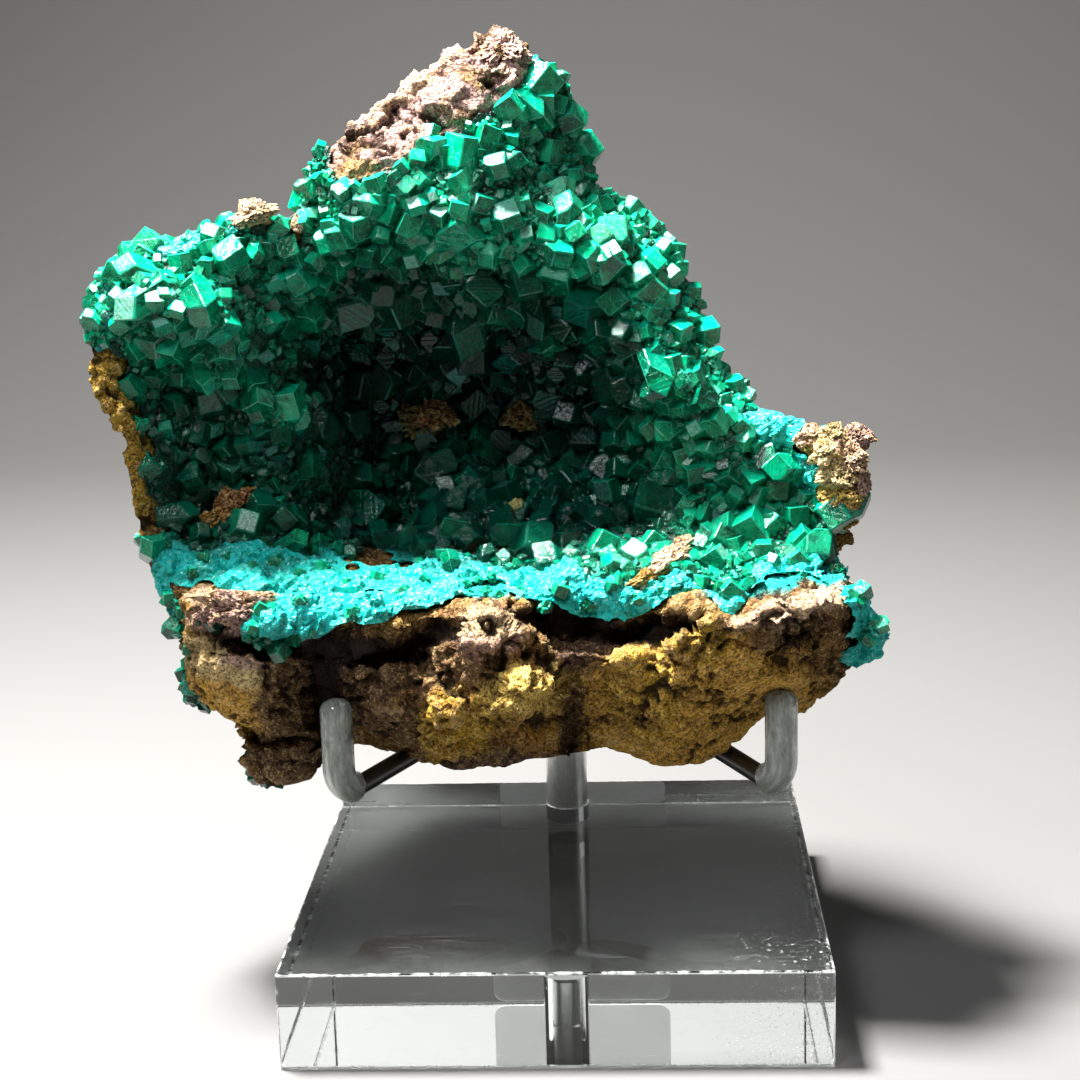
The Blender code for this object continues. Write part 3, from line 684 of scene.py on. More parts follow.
def link(name: str, mesh: bpy.types.Mesh) -> bpy.types.Object:
    """Put a mesh in the scene."""
    made = bpy.data.objects.new(name, mesh)
    bpy.context.scene.collection.objects.link(made)
    return made


def plain(piece: bpy.types.Object) -> bpy.types.Object:
    """Apply a piece's modifiers."""
    graph = bpy.context.evaluated_depsgraph_get()
    mesh = bpy.data.meshes.new_from_object(piece.evaluated_get(graph))
    old = piece.data
    piece.modifiers.clear()
    piece.data = mesh
    mesh.name = piece.name
    bpy.data.meshes.remove(old)
    return piece


def merged_copy(node: bpy.types.Object, name: str) -> bpy.types.Object:
    """Copy a CAD node with its loose triangles welded."""
    shape = bmesh.new()
    shape.from_mesh(node.data)
    bmesh.ops.remove_doubles(shape, verts=shape.verts, dist=0.002 * MM)
    mesh = bpy.data.meshes.new(name)
    shape.to_mesh(mesh)
    shape.free()
    return link(name, mesh)


def points_of(mesh: bpy.types.Mesh) -> np.ndarray:
    """Return a mesh's points, one a row."""
    flat = np.empty(len(mesh.vertices) * 3)
    mesh.vertices.foreach_get("co", flat)
    return flat.reshape(-1, 3)


def normals_of(mesh: bpy.types.Mesh) -> np.ndarray:
    """Return the normals at a mesh's points, one a row."""
    flat = np.empty(len(mesh.vertices) * 3)
    mesh.vertex_normals.foreach_get("vector", flat)
    return flat.reshape(-1, 3)


def move_points(mesh: bpy.types.Mesh, points: np.ndarray) -> None:
    """Put a mesh's points where an array says."""
    mesh.vertices.foreach_set("co", points.ravel())
    mesh.update()


def paint(mesh: bpy.types.Mesh, name: str, values: np.ndarray) -> None:
    """Store a number or a colour at each point.

    Args:
        mesh: The mesh.
        name: The attribute's name.
        values: One number a point, or one row of three a point.
    """
    if values.ndim == 1:
        made = mesh.attributes.new(name, "FLOAT", "POINT")
        made.data.foreach_set("value", values.astype(np.float32))
        return
    made = mesh.attributes.new(name, "FLOAT_COLOR", "POINT")
    full = np.ones((len(values), 4), np.float32)
    full[:, :3] = values
    made.data.foreach_set("color", full.ravel())


def dress(piece: bpy.types.Object, material: bpy.types.Material, smooth: bool) -> bpy.types.Object:
    """Give a piece its material and its shading."""
    piece.data.materials.clear()
    piece.data.materials.append(material)
    piece.data.polygons.foreach_set("use_smooth", [smooth] * len(piece.data.polygons))
    piece.data.update()
    return piece


def hand_over(piece: bpy.types.Object, slot: str, *nodes: str) -> bpy.types.Object:
    """Let a piece ride and stand for its CAD nodes."""
    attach(piece, "root")
    if nodes:
        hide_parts(*nodes)
    LOG.info("%s: %d faces", piece.name, len(piece.data.polygons))
    return piece


def tree_of(mesh: bpy.types.Mesh) -> BVHTree:
    """Return a search tree of a mesh."""
    corners = [tuple(vertex.co) for vertex in mesh.vertices]
    faces = [tuple(face.vertices) for face in mesh.polygons]
    return BVHTree.FromPolygons(corners, faces)


def first_hit(carriers: Sequence[BVHTree], eye: Vector, way: Vector) -> tuple[Vector, Vector, float]:
    """Return the first point that a line of sight meets.

    Args:
        carriers: The shapes that it may meet.
        eye: Where it starts.
        way: Its direction.

    Returns:
        The point, the normal there and the distance. A line that meets
        nothing gives the nearest point of the first shape.
    """
    hits = [hit for hit in (carrier.ray_cast(eye, way) for carrier in carriers) if hit[0] is not None]
    if hits:
        spot, normal, _, distance = min(hits, key=lambda hit: hit[3])
        return spot, normal, distance
    spot, normal, _, _ = carriers[0].find_nearest(eye + way * 0.43)
    return spot, normal, (spot - eye).length


def lathe(name: str, profile: Sequence[tuple[float, float]], centre: Vector, sides: int) -> bpy.types.Mesh:
    """Turn a closed profile of radius and height about an upright axis.

    Args:
        name: The mesh's name.
        profile: Radius and height in metres, from one pole to the other.
        centre: A point on the axis.
        sides: How many steps there are around.

    Returns:
        The turned mesh, with a UV map of turns and millimetres.
    """
    path = [centre + Vector((0.0, 0.0, height)) for _, height in profile]
    radii = [radius for radius, _ in profile]
    return pipe(name, path, radii, sides, [Vector((0.0, 0.0, 1.0))] * len(path))


def pipe(
    name: str,
    path: Sequence[Vector],
    radii: Sequence[float],
    sides: int,
    ways: Sequence[Vector] | None = None,
) -> bpy.types.Mesh:
    """Sweep a circle of changing radius along a path, closed at both ends.

    Args:
        name: The mesh's name.
        path: The centre of each ring.
        radii: The radius of each ring.
        sides: How many steps there are around.
        ways: The direction of each ring, or None to follow the path.

    Returns:
        The closed mesh, with a UV map of turns and millimetres.
    """
    if ways is None:
        ways = [
            (path[min(i + 1, len(path) - 1)] - path[max(i - 1, 0)]).normalized()
            for i in range(len(path))
        ]
    side = ways[0].orthogonal().normalized()
    shape = bmesh.new()
    layer = shape.loops.layers.uv.new("UVMap")
    rings = []
    lengths = [0.0]
    for index, (centre, radius, way) in enumerate(zip(path, radii, ways)):
        if index:
            side = ways[index - 1].rotation_difference(way) @ side
            lengths.append(lengths[-1] + (centre - path[index - 1]).length + abs(radius - radii[index - 1]))
        side = (side - way * side.dot(way)).normalized()
        other = way.cross(side)
        ring = []
        for step in range(sides):
            angle = 2.0 * math.pi * step / sides
            ring.append(shape.verts.new(centre + (side * math.cos(angle) + other * math.sin(angle)) * radius))
        rings.append(ring)
    for index in range(len(rings) - 1):
        for step in range(sides):
            after = (step + 1) % sides
            face = shape.faces.new(
                (rings[index][step], rings[index][after], rings[index + 1][after], rings[index + 1][step])
            )
            turns = (step / sides, (step + 1) / sides, (step + 1) / sides, step / sides)
            heights = (lengths[index], lengths[index], lengths[index + 1], lengths[index + 1])
            for loop, turn, height in zip(face.loops, turns, heights):
                loop[layer].uv = (turn, height / MM)
    shape.faces.new(list(reversed(rings[0])))
    shape.faces.new(rings[-1])
    bmesh.ops.remove_doubles(shape, verts=shape.verts, dist=0.001 * MM)
    bmesh.ops.recalc_face_normals(shape, faces=shape.faces)
    mesh = bpy.data.meshes.new(name)
    shape.to_mesh(mesh)
    shape.free()
    return mesh


def grown(
    carrier: bpy.types.Object,
    name: str,
    tree: "GeometryRecipe",
    values: dict[str, Any],
) -> bpy.types.Object:
    """Run a geometry recipe on a carrier and return the result as a plain mesh.

    Args:
        carrier: The object that the recipe reads. It stays as it is.
        name: The new piece's name.
        tree: The recipe.
        values: A value for each of its named inputs.

    Returns:
        The new piece, at the origin and with no modifiers.
    """
    helper = link(name + "_helper", carrier.data.copy())
    step = helper.modifiers.new("Grow", "NODES")
    step.node_group = tree.tree
    for key, value in values.items():
        step[tree.keys[key]] = value
    graph = bpy.context.evaluated_depsgraph_get()
    mesh = bpy.data.meshes.new_from_object(helper.evaluated_get(graph))
    mesh.name = name
    old = helper.data
    bpy.data.objects.remove(helper)
    bpy.data.meshes.remove(old)
    return link(name, mesh)


# Geometry recipes


class GeometryRecipe(Tree):
    """A Geometry Nodes tree with named inputs."""

    def __init__(self, name: str, inputs: dict[str, str]) -> None:
        """Make the tree and its sockets.

        Args:
            name: The tree's name.
            inputs: Socket types by input name.
        """
        super().__init__(bpy.data.node_groups.new(name, "GeometryNodeTree"))
        face = self.tree.interface
        face.new_socket("Geometry", in_out="INPUT", socket_type="NodeSocketGeometry")
        self.keys = {
            key: face.new_socket(key, in_out="INPUT", socket_type=kind).identifier
            for key, kind in inputs.items()
        }
        face.new_socket("Geometry", in_out="OUTPUT", socket_type="NodeSocketGeometry")
        self.start = self.node("NodeGroupInput")
        self.end = self.node("NodeGroupOutput")

    def given(self, key: str) -> Term:
        """Return a named input."""
        return Term(self, self.start.outputs[key])

    def finish(self, geometry: Any) -> None:
        """Realize the instances, set the material and end the tree."""
        real = self.node("GeometryNodeRealizeInstances", {}, {0: geometry})
        dressed = self.node("GeometryNodeSetMaterial", {}, {"Geometry": real.outputs[0], "Material": self.given("Material")})
        self.feed(self.end.inputs[0], dressed.outputs[0])


def scatter_recipe() -> GeometryRecipe:
    """Return the recipe that stands crystals on a carrier."""
    recipe = GeometryRecipe(
        "stand_crystals",
        {
            "Crystals": "NodeSocketCollection",
            "Where": "NodeSocketString",
            "Spacing": "NodeSocketFloat",
            "Density": "NodeSocketFloat",
            "Smallest": "NodeSocketFloat",
            "Largest": "NodeSocketFloat",
            "Tilt": "NodeSocketFloat",
            "Sink": "NodeSocketFloat",
            "Seed": "NodeSocketInt",
            "Material": "NodeSocketMaterial",
        },
    )
    where = recipe.node("GeometryNodeInputNamedAttribute", {"data_type": "FLOAT"}, {"Name": recipe.given("Where")})
    spread = recipe.node(
        "GeometryNodeDistributePointsOnFaces",
        {"distribute_method": "POISSON"},
        {
            "Mesh": recipe.start.outputs["Geometry"],
            "Distance Min": recipe.given("Spacing"),
            "Density Max": recipe.given("Density"),
            "Density Factor": where.outputs["Attribute"],
            "Seed": recipe.given("Seed"),
        },
    )
    chance = recipe.node(
        "FunctionNodeRandomValue",
        {"data_type": "FLOAT"},
        {"Min_001": 0.0, "Max_001": 1.0, "Seed": recipe.given("Seed") + 7},
    )
    share = recipe.out(chance, "Value_001") ** 1.6
    size = recipe.given("Smallest") + share * (recipe.given("Largest") - recipe.given("Smallest"))
    lean = recipe.given("Tilt")
    bounds = recipe.node("ShaderNodeCombineXYZ", {}, {0: lean, 1: lean, 2: 3.1416})
    lows = recipe.vector("MULTIPLY", recipe.out(bounds), (-1.0, -1.0, -1.0))
    swing = recipe.node(
        "FunctionNodeRandomValue",
        {"data_type": "FLOAT_VECTOR"},
        {"Min": lows, "Max": recipe.out(bounds), "Seed": recipe.given("Seed") + 13},
    )
    swing_turn = recipe.node("FunctionNodeEulerToRotation", {}, {0: recipe.out(swing, "Value")})
    turned = recipe.node(
        "FunctionNodeRotateRotation",
        {"rotation_space": "LOCAL"},
        {"Rotation": spread.outputs["Rotation"], "Rotate By": swing_turn.outputs[0]},
    )
    crystals = recipe.node(
        "GeometryNodeCollectionInfo",
        {"transform_space": "ORIGINAL"},
        {"Collection": recipe.given("Crystals"), "Separate Children": True, "Reset Children": True},
    )
    length = recipe.node(
        "FunctionNodeRandomValue",
        {"data_type": "FLOAT"},
        {"Min_001": 0.75, "Max_001": 1.35, "Seed": recipe.given("Seed") + 19},
    )
    scale = recipe.node("ShaderNodeCombineXYZ", {}, {0: size, 1: size, 2: size * recipe.out(length, "Value_001")})
    stood = recipe.node(
        "GeometryNodeInstanceOnPoints",
        {},
        {
            "Points": spread.outputs["Points"],
            "Instance": crystals.outputs[0],
            "Pick Instance": True,
            "Rotation": turned.outputs[0],
            "Scale": scale.outputs[0],
        },
    )
    drop = recipe.node("ShaderNodeCombineXYZ", {}, {0: 0.0, 1: 0.0, 2: recipe.given("Sink") * -1.0})
    sunk = recipe.node(
        "GeometryNodeTranslateInstances",
        {},
        {"Instances": stood.outputs[0], "Translation": drop.outputs[0], "Local Space": True},
    )
    tint = recipe.node(
        "FunctionNodeRandomValue",
        {"data_type": "FLOAT"},
        {"Min_001": 0.0, "Max_001": 1.0, "Seed": recipe.given("Seed") + 29},
    )
    shaded = recipe.node(
        "GeometryNodeStoreNamedAttribute",
        {"data_type": "FLOAT", "domain": "INSTANCE"},
        {"Geometry": sunk.outputs[0], "Name": "shade", "Value": recipe.out(tint, "Value_001")},
    )
    recipe.finish(shaded.outputs[0])
    return recipe


def roughen_recipe() -> GeometryRecipe:
    """Return the recipe that breaks up a surface and notes its hollows."""
    recipe = GeometryRecipe(
        "roughen",
        {
            "Lump Size": "NodeSocketFloat",
            "Lump Height": "NodeSocketFloat",
            "Grain Size": "NodeSocketFloat",
            "Grain Height": "NodeSocketFloat",
            "Crumb Size": "NodeSocketFloat",
            "Crumb Height": "NodeSocketFloat",
            "Pit Size": "NodeSocketFloat",
            "Pit Depth": "NodeSocketFloat",
            "Crack Size": "NodeSocketFloat",
            "Crack Depth": "NodeSocketFloat",
            "Block Size": "NodeSocketFloat",
            "Block Height": "NodeSocketFloat",
            "Seed": "NodeSocketFloat",
            "Material": "NodeSocketMaterial",
        },
    )
    place = recipe.node("GeometryNodeInputPosition").outputs[0]
    normal = recipe.node("GeometryNodeInputNormal").outputs[0]
    rough = recipe.node("GeometryNodeInputNamedAttribute", {"data_type": "FLOAT"}, {"Name": "rough"})

    def layer(size: str, detail: float, roughness: float, shift: float) -> Term:
        """Return a noise of a named size, centred on 0."""
        made = recipe.node(
            "ShaderNodeTexNoise",
            {"noise_dimensions": "4D"},
            {
                "Vector": place,
                "W": recipe.given("Seed") + shift,
                "Scale": recipe.given(size)._math("DIVIDE", 1.0, recipe.given(size)),
                "Detail": detail,
                "Roughness": roughness,
            },
        )
        return recipe.out(made, 0) - 0.5

    lumps = layer("Lump Size", 3.0, 0.55, 0.0) * recipe.given("Lump Height")
    grains = layer("Grain Size", 4.0, 0.65, 3.1) * recipe.given("Grain Height")
    cells = recipe.node(
        "ShaderNodeTexVoronoi",
        {"voronoi_dimensions": "3D"},
        {"Vector": place, "Scale": recipe.given("Crumb Size")._math("DIVIDE", 1.0, recipe.given("Crumb Size"))},
    )
    crumbs = (0.45 - recipe.out(cells, "Distance")) * recipe.given("Crumb Height")
    pits = layer("Pit Size", 2.0, 0.5, 7.7).step(0.10, 0.19) * recipe.given("Pit Depth")
    cracks = (1.0 - layer("Crack Size", 4.0, 0.6, 12.3).size().step(0.0, 0.035)) * recipe.given("Crack Depth")
    warp = recipe.node(
        "ShaderNodeTexNoise",
        {},
        {"Vector": place, "Scale": recipe.given("Block Size")._math("DIVIDE", 0.8, recipe.given("Block Size"))},
    )
    swirl = recipe.node(
        "ShaderNodeVectorMath", {"operation": "SCALE"}, {0: warp.outputs["Color"], "Scale": recipe.given("Block Size")}
    )
    blocks = recipe.node(
        "ShaderNodeTexVoronoi",
        {"voronoi_dimensions": "3D"},
        {
            "Vector": recipe.vector("ADD", place, swirl.outputs[0]),
            "Scale": recipe.given("Block Size")._math("DIVIDE", 1.0, recipe.given("Block Size")),
        },
    )
    split = recipe.node("ShaderNodeSeparateXYZ", {}, {0: blocks.outputs["Color"]})
    steps = (recipe.out(split, 0) - 0.5) * recipe.given("Block Height")
    height = (lumps + grains + crumbs + steps - pits - cracks) * recipe.out(rough, "Attribute") * 2.0
    span = recipe.given("Lump Height") * 0.35 + recipe.given("Grain Height") * 0.35 + recipe.given("Crumb Height") * 0.4
    relief = lumps * 0.5 + grains + crumbs + steps * 0.4 - pits - cracks
    level = relief._math("DIVIDE", relief, span)
    noted = recipe.node(
        "GeometryNodeStoreNamedAttribute",
        {"data_type": "FLOAT", "domain": "POINT"},
        {"Geometry": recipe.start.outputs["Geometry"], "Name": "hollow", "Value": level * 0.5 + 0.5},
    )
    moved = recipe.node(
        "ShaderNodeVectorMath", {"operation": "SCALE"}, {0: normal, "Scale": height}
    )
    placed = recipe.node(
        "GeometryNodeSetPosition",
        {},
        {"Geometry": noted.outputs[0], "Offset": moved.outputs[0]},
    )
    recipe.finish(placed.outputs[0])
    return recipe


# Stone


class RockTone(Enum):
    """Colours of the iron-stained rock."""

    OCHRE = (0.50, 0.26, 0.040)
    MUSTARD = (0.56, 0.34, 0.036)
    YELLOW = (0.98, 0.66, 0.16)
    PINK = (0.52, 0.32, 0.30)
    ROSE = (0.66, 0.42, 0.39)
    SAND = (0.86, 0.68, 0.34)
    PEACH = (0.82, 0.56, 0.38)
    UMBER = (0.19, 0.11, 0.058)
    PLUM = (0.17, 0.10, 0.085)
    RUST = (0.30, 0.12, 0.04)
    BLACK = (0.018, 0.014, 0.013)
    GOLDEN = (0.92, 0.52, 0.095)
    TURQUOISE = (0.01, 0.62, 0.56)


def wander(points: np.ndarray, size: float, seed: float) -> np.ndarray:
    """Return a smooth random offset for each point, each part within 1.

    Args:
        points: Points in metres.
        size: The size of the noise's features, in metres.
        seed: A shift that gives another pattern.

    Returns:
        Three numbers a point.
    """
    shift = Vector((seed, seed * 1.7, seed * 2.3))
    return np.array([noise.noise_vector(Vector(point) / size + shift) for point in points])


def ragged(points: np.ndarray) -> tuple[np.ndarray, np.ndarray]:
    """Return the points' pixels, shaken so that patches get ragged outlines."""
    across, down = VIEW.project(points)
    wide = wander(points, 7.0 * MM, 1.0) * 7.0 + wander(points, 2.4 * MM, 5.0) * 4.0
    return across + wide[:, 0], down + wide[:, 2]


def facing(points: np.ndarray, normals: np.ndarray) -> np.ndarray:
    """Return how squarely each point faces the camera, from -1 to 1."""
    ways = np.array(VIEW.place) - points
    return (ways * normals).sum(axis=1) / np.linalg.norm(ways, axis=1)


@dataclass
class Rock:
    """The lump of gossan that carries the crystals."""

    node: str = "gossan_rock"
    voxel: float = 1.25 * MM
    smooth_passes: int = 2
    back_tone: float = 0.6
    carves: tuple[tuple[Spot, float], ...] = (
        (Spot("gap under the shelf, left", 375, 650, 66, 20, 4), 5.0),
        (Spot("gap under the shelf, middle", 425, 640, 42, 14, -20), 5.0),
        (Spot("gap beside the crown", 570, 628, 62, 15, 14), 6.0),
        (Spot("gap at the right", 655, 628, 44, 13, -14), 5.0),
        (Spot("crown", 492, 632, 30, 24), -3.5),
        (Spot("yellow block", 530, 706, 48, 30, -6), -7.0),
        (Spot("shadow under the block", 520, 724, 44, 8, 10), 2.0),
        (Spot("left block", 452, 728, 36, 38, 10), -2.5),
        (Spot("left of the block", 402, 738, 12, 40, 20), 2.5),
        (Spot("crack", 572, 714, 10, 36, 4), 3.5),
        (Spot("plum crumbs", 600, 652, 34, 20), -1.5),
        (Spot("right block", 690, 660, 40, 34, -20), -2.0),
        (Spot("ridge", 795, 608, 74, 12, -14), -3.0),
        (Spot("under the ridge", 800, 632, 60, 10, -16), 2.5),
        (Spot("hollow behind the end", 866, 628, 15, 34, 10), 5.0),
        (Spot("wedge", 232, 604, 44, 15), -3.5),
        (Spot("gap under the wedge", 268, 645, 42, 12, 8), 6.0),
        (Spot("beside the lump", 322, 690, 16, 52, -6), 6.0),
        (Spot("lump", 232, 680, 52, 36, 20), -3.0),
        (Spot("under the lump", 268, 738, 46, 7, 6), 3.0),
        (Spot("low lump", 286, 764, 32, 20), -1.5),
    )
    patches: tuple[tuple[Spot, RockTone, float], ...] = (
        (Spot("peak rock", 425, 105, 135, 62, -35), RockTone.PINK, 1.0),
        (Spot("peak knob", 500, 42, 42, 34), RockTone.ROSE, 0.9),
        (Spot("pale ridge", 408, 88, 42, 12, -32), RockTone.PEACH, 0.7),
        (Spot("dark spot on the peak", 350, 138, 15, 22), RockTone.BLACK, 0.8),
        (Spot("dark spot by the knob", 474, 76, 22, 10, 20), RockTone.UMBER, 0.8),
        (Spot("dark foot of the peak", 466, 118, 14, 10), RockTone.UMBER, 0.7),
        (Spot("foot of the patch", 350, 172, 30, 12, -20), RockTone.OCHRE, 0.6),
        (Spot("point on the lobe", 250, 208, 34, 26), RockTone.PEACH, 1.0),
        (Spot("strip on the left edge", 100, 400, 50, 140, -14), RockTone.MUSTARD, 0.75),
        (Spot("patch on the left wall", 228, 508, 38, 26), RockTone.RUST, 1.0),
        (Spot("rock in the vug", 500, 400, 150, 60), RockTone.RUST, 0.9),
        (Spot("right knob", 828, 480, 45, 60), RockTone.YELLOW, 0.8),
        (Spot("right knob top", 852, 430, 34, 22), RockTone.PINK, 0.9),
        (Spot("outcrop in the shelf", 665, 560, 40, 26, -30), RockTone.PEACH, 0.9),
        (Spot("wedge", 235, 618, 48, 20), RockTone.PINK, 0.9),
        (Spot("wedge top", 232, 597, 48, 9), RockTone.PEACH, 1.0),
        (Spot("lump", 232, 690, 66, 48, 24), RockTone.GOLDEN, 0.9),
        # Painted light: the lump's top is lighter where light falls on it.
        (Spot("lump top", 226, 662, 54, 22, 14), RockTone.SAND, 0.9),
        (Spot("lump crown", 250, 662, 26, 10, 14), RockTone.PINK, 0.8),
        (Spot("lump low right", 290, 706, 36, 44, -8), RockTone.UMBER, 0.95),
        (Spot("low lump", 285, 762, 50, 32), RockTone.UMBER, 1.0),
        (Spot("face by the left arm", 385, 700, 44, 36), RockTone.UMBER, 0.75),
        (Spot("face under the gap", 430, 672, 60, 20), RockTone.UMBER, 0.6),
        (Spot("mustard face", 455, 728, 36, 42), RockTone.MUSTARD, 0.95),
        (Spot("crown", 492, 632, 36, 28), RockTone.PINK, 0.6),
        # Painted light: the crown's top is lighter where light falls on it.
        (Spot("crown top", 490, 622, 30, 14), RockTone.SAND, 0.4),
        (Spot("yellow patch", 530, 690, 50, 26, -6), RockTone.YELLOW, 1.0),
        (Spot("brown under the yellow", 540, 734, 36, 16), RockTone.OCHRE, 0.9),
        (Spot("foot of the face", 520, 768, 76, 14), RockTone.PLUM, 0.9),
        (Spot("plum patch", 602, 655, 40, 24), RockTone.PLUM, 1.0),
        (Spot("right face", 700, 705, 120, 75), RockTone.GOLDEN, 0.95),
        (Spot("right face left", 640, 700, 40, 50), RockTone.MUSTARD, 0.8),
        (Spot("right face top", 690, 636, 44, 26, 20), RockTone.MUSTARD, 1.0),
        (Spot("ridge shadow", 800, 630, 50, 12, -15), RockTone.UMBER, 0.9),
        (Spot("lit ridge", 800, 606, 76, 14, -14), RockTone.PEACH, 0.95),
        # Painted shadow in the hollow behind the end.
        (Spot("hollow behind the end", 866, 628, 18, 38, 10), RockTone.BLACK, 1.0),
        (Spot("crust on the crown", 486, 588, 34, 10), RockTone.TURQUOISE, 1.0),
        (Spot("crust on the ridge", 768, 580, 62, 12, -12), RockTone.TURQUOISE, 1.0),
        (Spot("crust on the ridge end", 826, 574, 30, 12), RockTone.TURQUOISE, 1.0),
        # Painted shadow: the black patches in the gaps under the wedge and the shelf, beside the lump and the crown,
        # and in the crack.
        (Spot("gap under the wedge", 262, 644, 54, 11, 8), RockTone.BLACK, 1.0),
        (Spot("beside the lump", 325, 684, 17, 50, -6), RockTone.BLACK, 0.95),
        (Spot("gap under the shelf, left", 350, 648, 62, 15, 2), RockTone.BLACK, 0.95),
        (Spot("gap left of the crown", 432, 636, 30, 12, -30), RockTone.BLACK, 0.95),
        (Spot("gap beside the crown", 572, 622, 66, 15, 12), RockTone.BLACK, 1.0),
        (Spot("gap at the right", 655, 628, 46, 14, -14), RockTone.BLACK, 1.0),
        (Spot("crack", 573, 724, 12, 44, 4), RockTone.BLACK, 0.9),
    )

    def build(
        self, node: bpy.types.Object, cover: BVHTree, material: bpy.types.Material
    ) -> bpy.types.Object:
        """Build the rock from its CAD solid.

        Args:
            node: The CAD node.
            cover: The druse that hides part of the rock.
            material: The rock's finish.

        Returns:
            The detailed rock.
        """
        body = merged_copy(node, "rock_body")
        grid = body.modifiers.new("Even", "REMESH")
        grid.mode = "VOXEL"
        grid.voxel_size = self.voxel
        soft = body.modifiers.new("Soften", "SMOOTH")
        soft.factor = 0.5
        soft.iterations = self.smooth_passes
        plain(body)
        self._refine(body)
        hidden = self._hidden(points_of(body.data), cover)
        self._carve(body.data, hidden)
        rough = self._roughness(points_of(body.data), normals_of(body.data))
        paint(body.data, "rough", rough * (1.0 - 0.7 * hidden))
        piece = grown(
            body,
            "rock",
            roughen_recipe(),
            {
                "Lump Size": 9.0 * MM,
                "Lump Height": 4.2 * MM,
                "Grain Size": 2.8 * MM,
                "Grain Height": 2.5 * MM,
                "Crumb Size": 1.9 * MM,
                "Crumb Height": 1.1 * MM,
                "Pit Size": 4.5 * MM,
                "Pit Depth": 1.3 * MM,
                "Crack Size": 20.0 * MM,
                "Crack Depth": 1.6 * MM,
                "Block Size": 7.0 * MM,
                "Block Height": 2.8 * MM,
                "Seed": 3.0,
                "Material": material,
            },
        )
        bpy.data.objects.remove(body)
        paint(piece.data, "tone", self._tones(points_of(piece.data), normals_of(piece.data)))
        dress(piece, material, True)
        return hand_over(piece, "gossan", self.node)

    def _refine(self, body: bpy.types.Object) -> None:
        """Give the bare faces that the camera sees a finer mesh."""
        shape = bmesh.new()
        shape.from_mesh(body.data)
        eye = Vector(VIEW.place)
        edges = set()
        for face in shape.faces:
            centre = face.calc_center_median()
            if face.normal.dot((eye - centre).normalized()) < 0.0:
                continue
            across, down = VIEW.project(np.array([centre]))
            low = down[0] > 570.0 and centre.y < -0.004
            peak = down[0] < 215.0 or across[0] < 165.0 or across[0] > 790.0
            if low or peak:
                edges.update(face.edges)
        bmesh.ops.subdivide_edges(shape, edges=list(edges), cuts=1, use_grid_fill=True)
        bmesh.ops.triangulate(shape, faces=[face for face in shape.faces if len(face.verts) > 4])
        shape.to_mesh(body.data)
        shape.free()

    @staticmethod
    def _hidden(points: np.ndarray, cover: BVHTree) -> np.ndarray:
        """Return 1 for each point that the druse hides from the camera."""
        eye = Vector(VIEW.place)
        ways = [Vector(point) - eye for point in points]
        hits = [cover.ray_cast(eye, way.normalized(), way.length + MM)[0] for way in ways]
        return np.array([0.0 if hit is None else 1.0 for hit in hits])

    def _carve(self, mesh: bpy.types.Mesh, hidden: np.ndarray) -> None:
        """Cut the gaps and raise the blocks that the photograph shows.

        Args:
            mesh: The rock's mesh.
            hidden: Which points the druse hides. They aren't raised.
        """
        points = points_of(mesh)
        squarely = np.clip((facing(points, normals_of(mesh)) + 0.1) / 0.4, 0.0, 1.0)
        squarely *= points[:, 2] > 0.030
        pixels = ragged(points)
        push = np.zeros(len(points))
        for spot, depth in self.carves:
            push += spot.weight(pixels, 0.7) * depth * MM
        push = np.maximum(push, 0.0) + np.minimum(push, 0.0) * (1.0 - hidden)
        ways = points - np.array(VIEW.place)
        ways /= np.linalg.norm(ways, axis=1)[:, None]
        move_points(mesh, points + ways * (push * squarely)[:, None])

    @staticmethod
    def _roughness(points: np.ndarray, normals: np.ndarray) -> np.ndarray:
        """Return how strongly each point is broken up."""
        across, along = points[:, 0] / MM, points[:, 1] / MM
        inner = np.clip((along + 20.0) / 5.0, 0.0, 1.0)
        by_arms = np.clip((12.0 - np.minimum(np.abs(across + 45.2), np.abs(across - 46.9))) / 5.0, 0.0, 1.0)
        under = np.clip(-normals[:, 2], 0.0, 1.0) * (points[:, 2] < 0.070) * np.maximum(inner, by_arms)
        strip = np.clip((-72.0 - across) / 5.0, 0.0, 1.0) * (points[:, 2] > 0.100)
        return (0.5 - 0.43 * under) * (1.0 - 0.45 * strip)

    def _tones(self, points: np.ndarray, normals: np.ndarray) -> np.ndarray:
        """Return the rock's colour at each point.

        Args:
            points: The rock's points.
            normals: The normals there.

        Returns:
            A colour for each point.
        """
        seen = np.clip((facing(points, normals) + 0.35) / 0.35, 0.0, 1.0)
        seen *= points[:, 1] < 0.012
        drift = wander(points, 24.0 * MM, 9.0)
        wave = np.clip(drift[:, 0] * 0.9 + 0.5, 0.0, 1.0)[:, None]
        dusk = np.clip(drift[:, 1] * 2.2 - 0.3, 0.0, 1.0)[:, None]
        gold = np.clip(drift[:, 2] * 2.2 - 0.3, 0.0, 1.0)[:, None]
        tones = np.array(RockTone.OCHRE.value) * wave + np.array(RockTone.PLUM.value) * (1.0 - wave)
        tones = tones * (1.0 - dusk) + np.array(RockTone.UMBER.value) * dusk
        tones = (tones * (1.0 - gold) + np.array(RockTone.MUSTARD.value) * gold) * self.back_tone
        pixels = ragged(points)
        for spot, tone, strength in self.patches:
            share = (spot.weight(pixels, 0.45) * strength * seen)[:, None]
            tones = tones * (1.0 - share) + np.array(tone.value) * share
        return tones


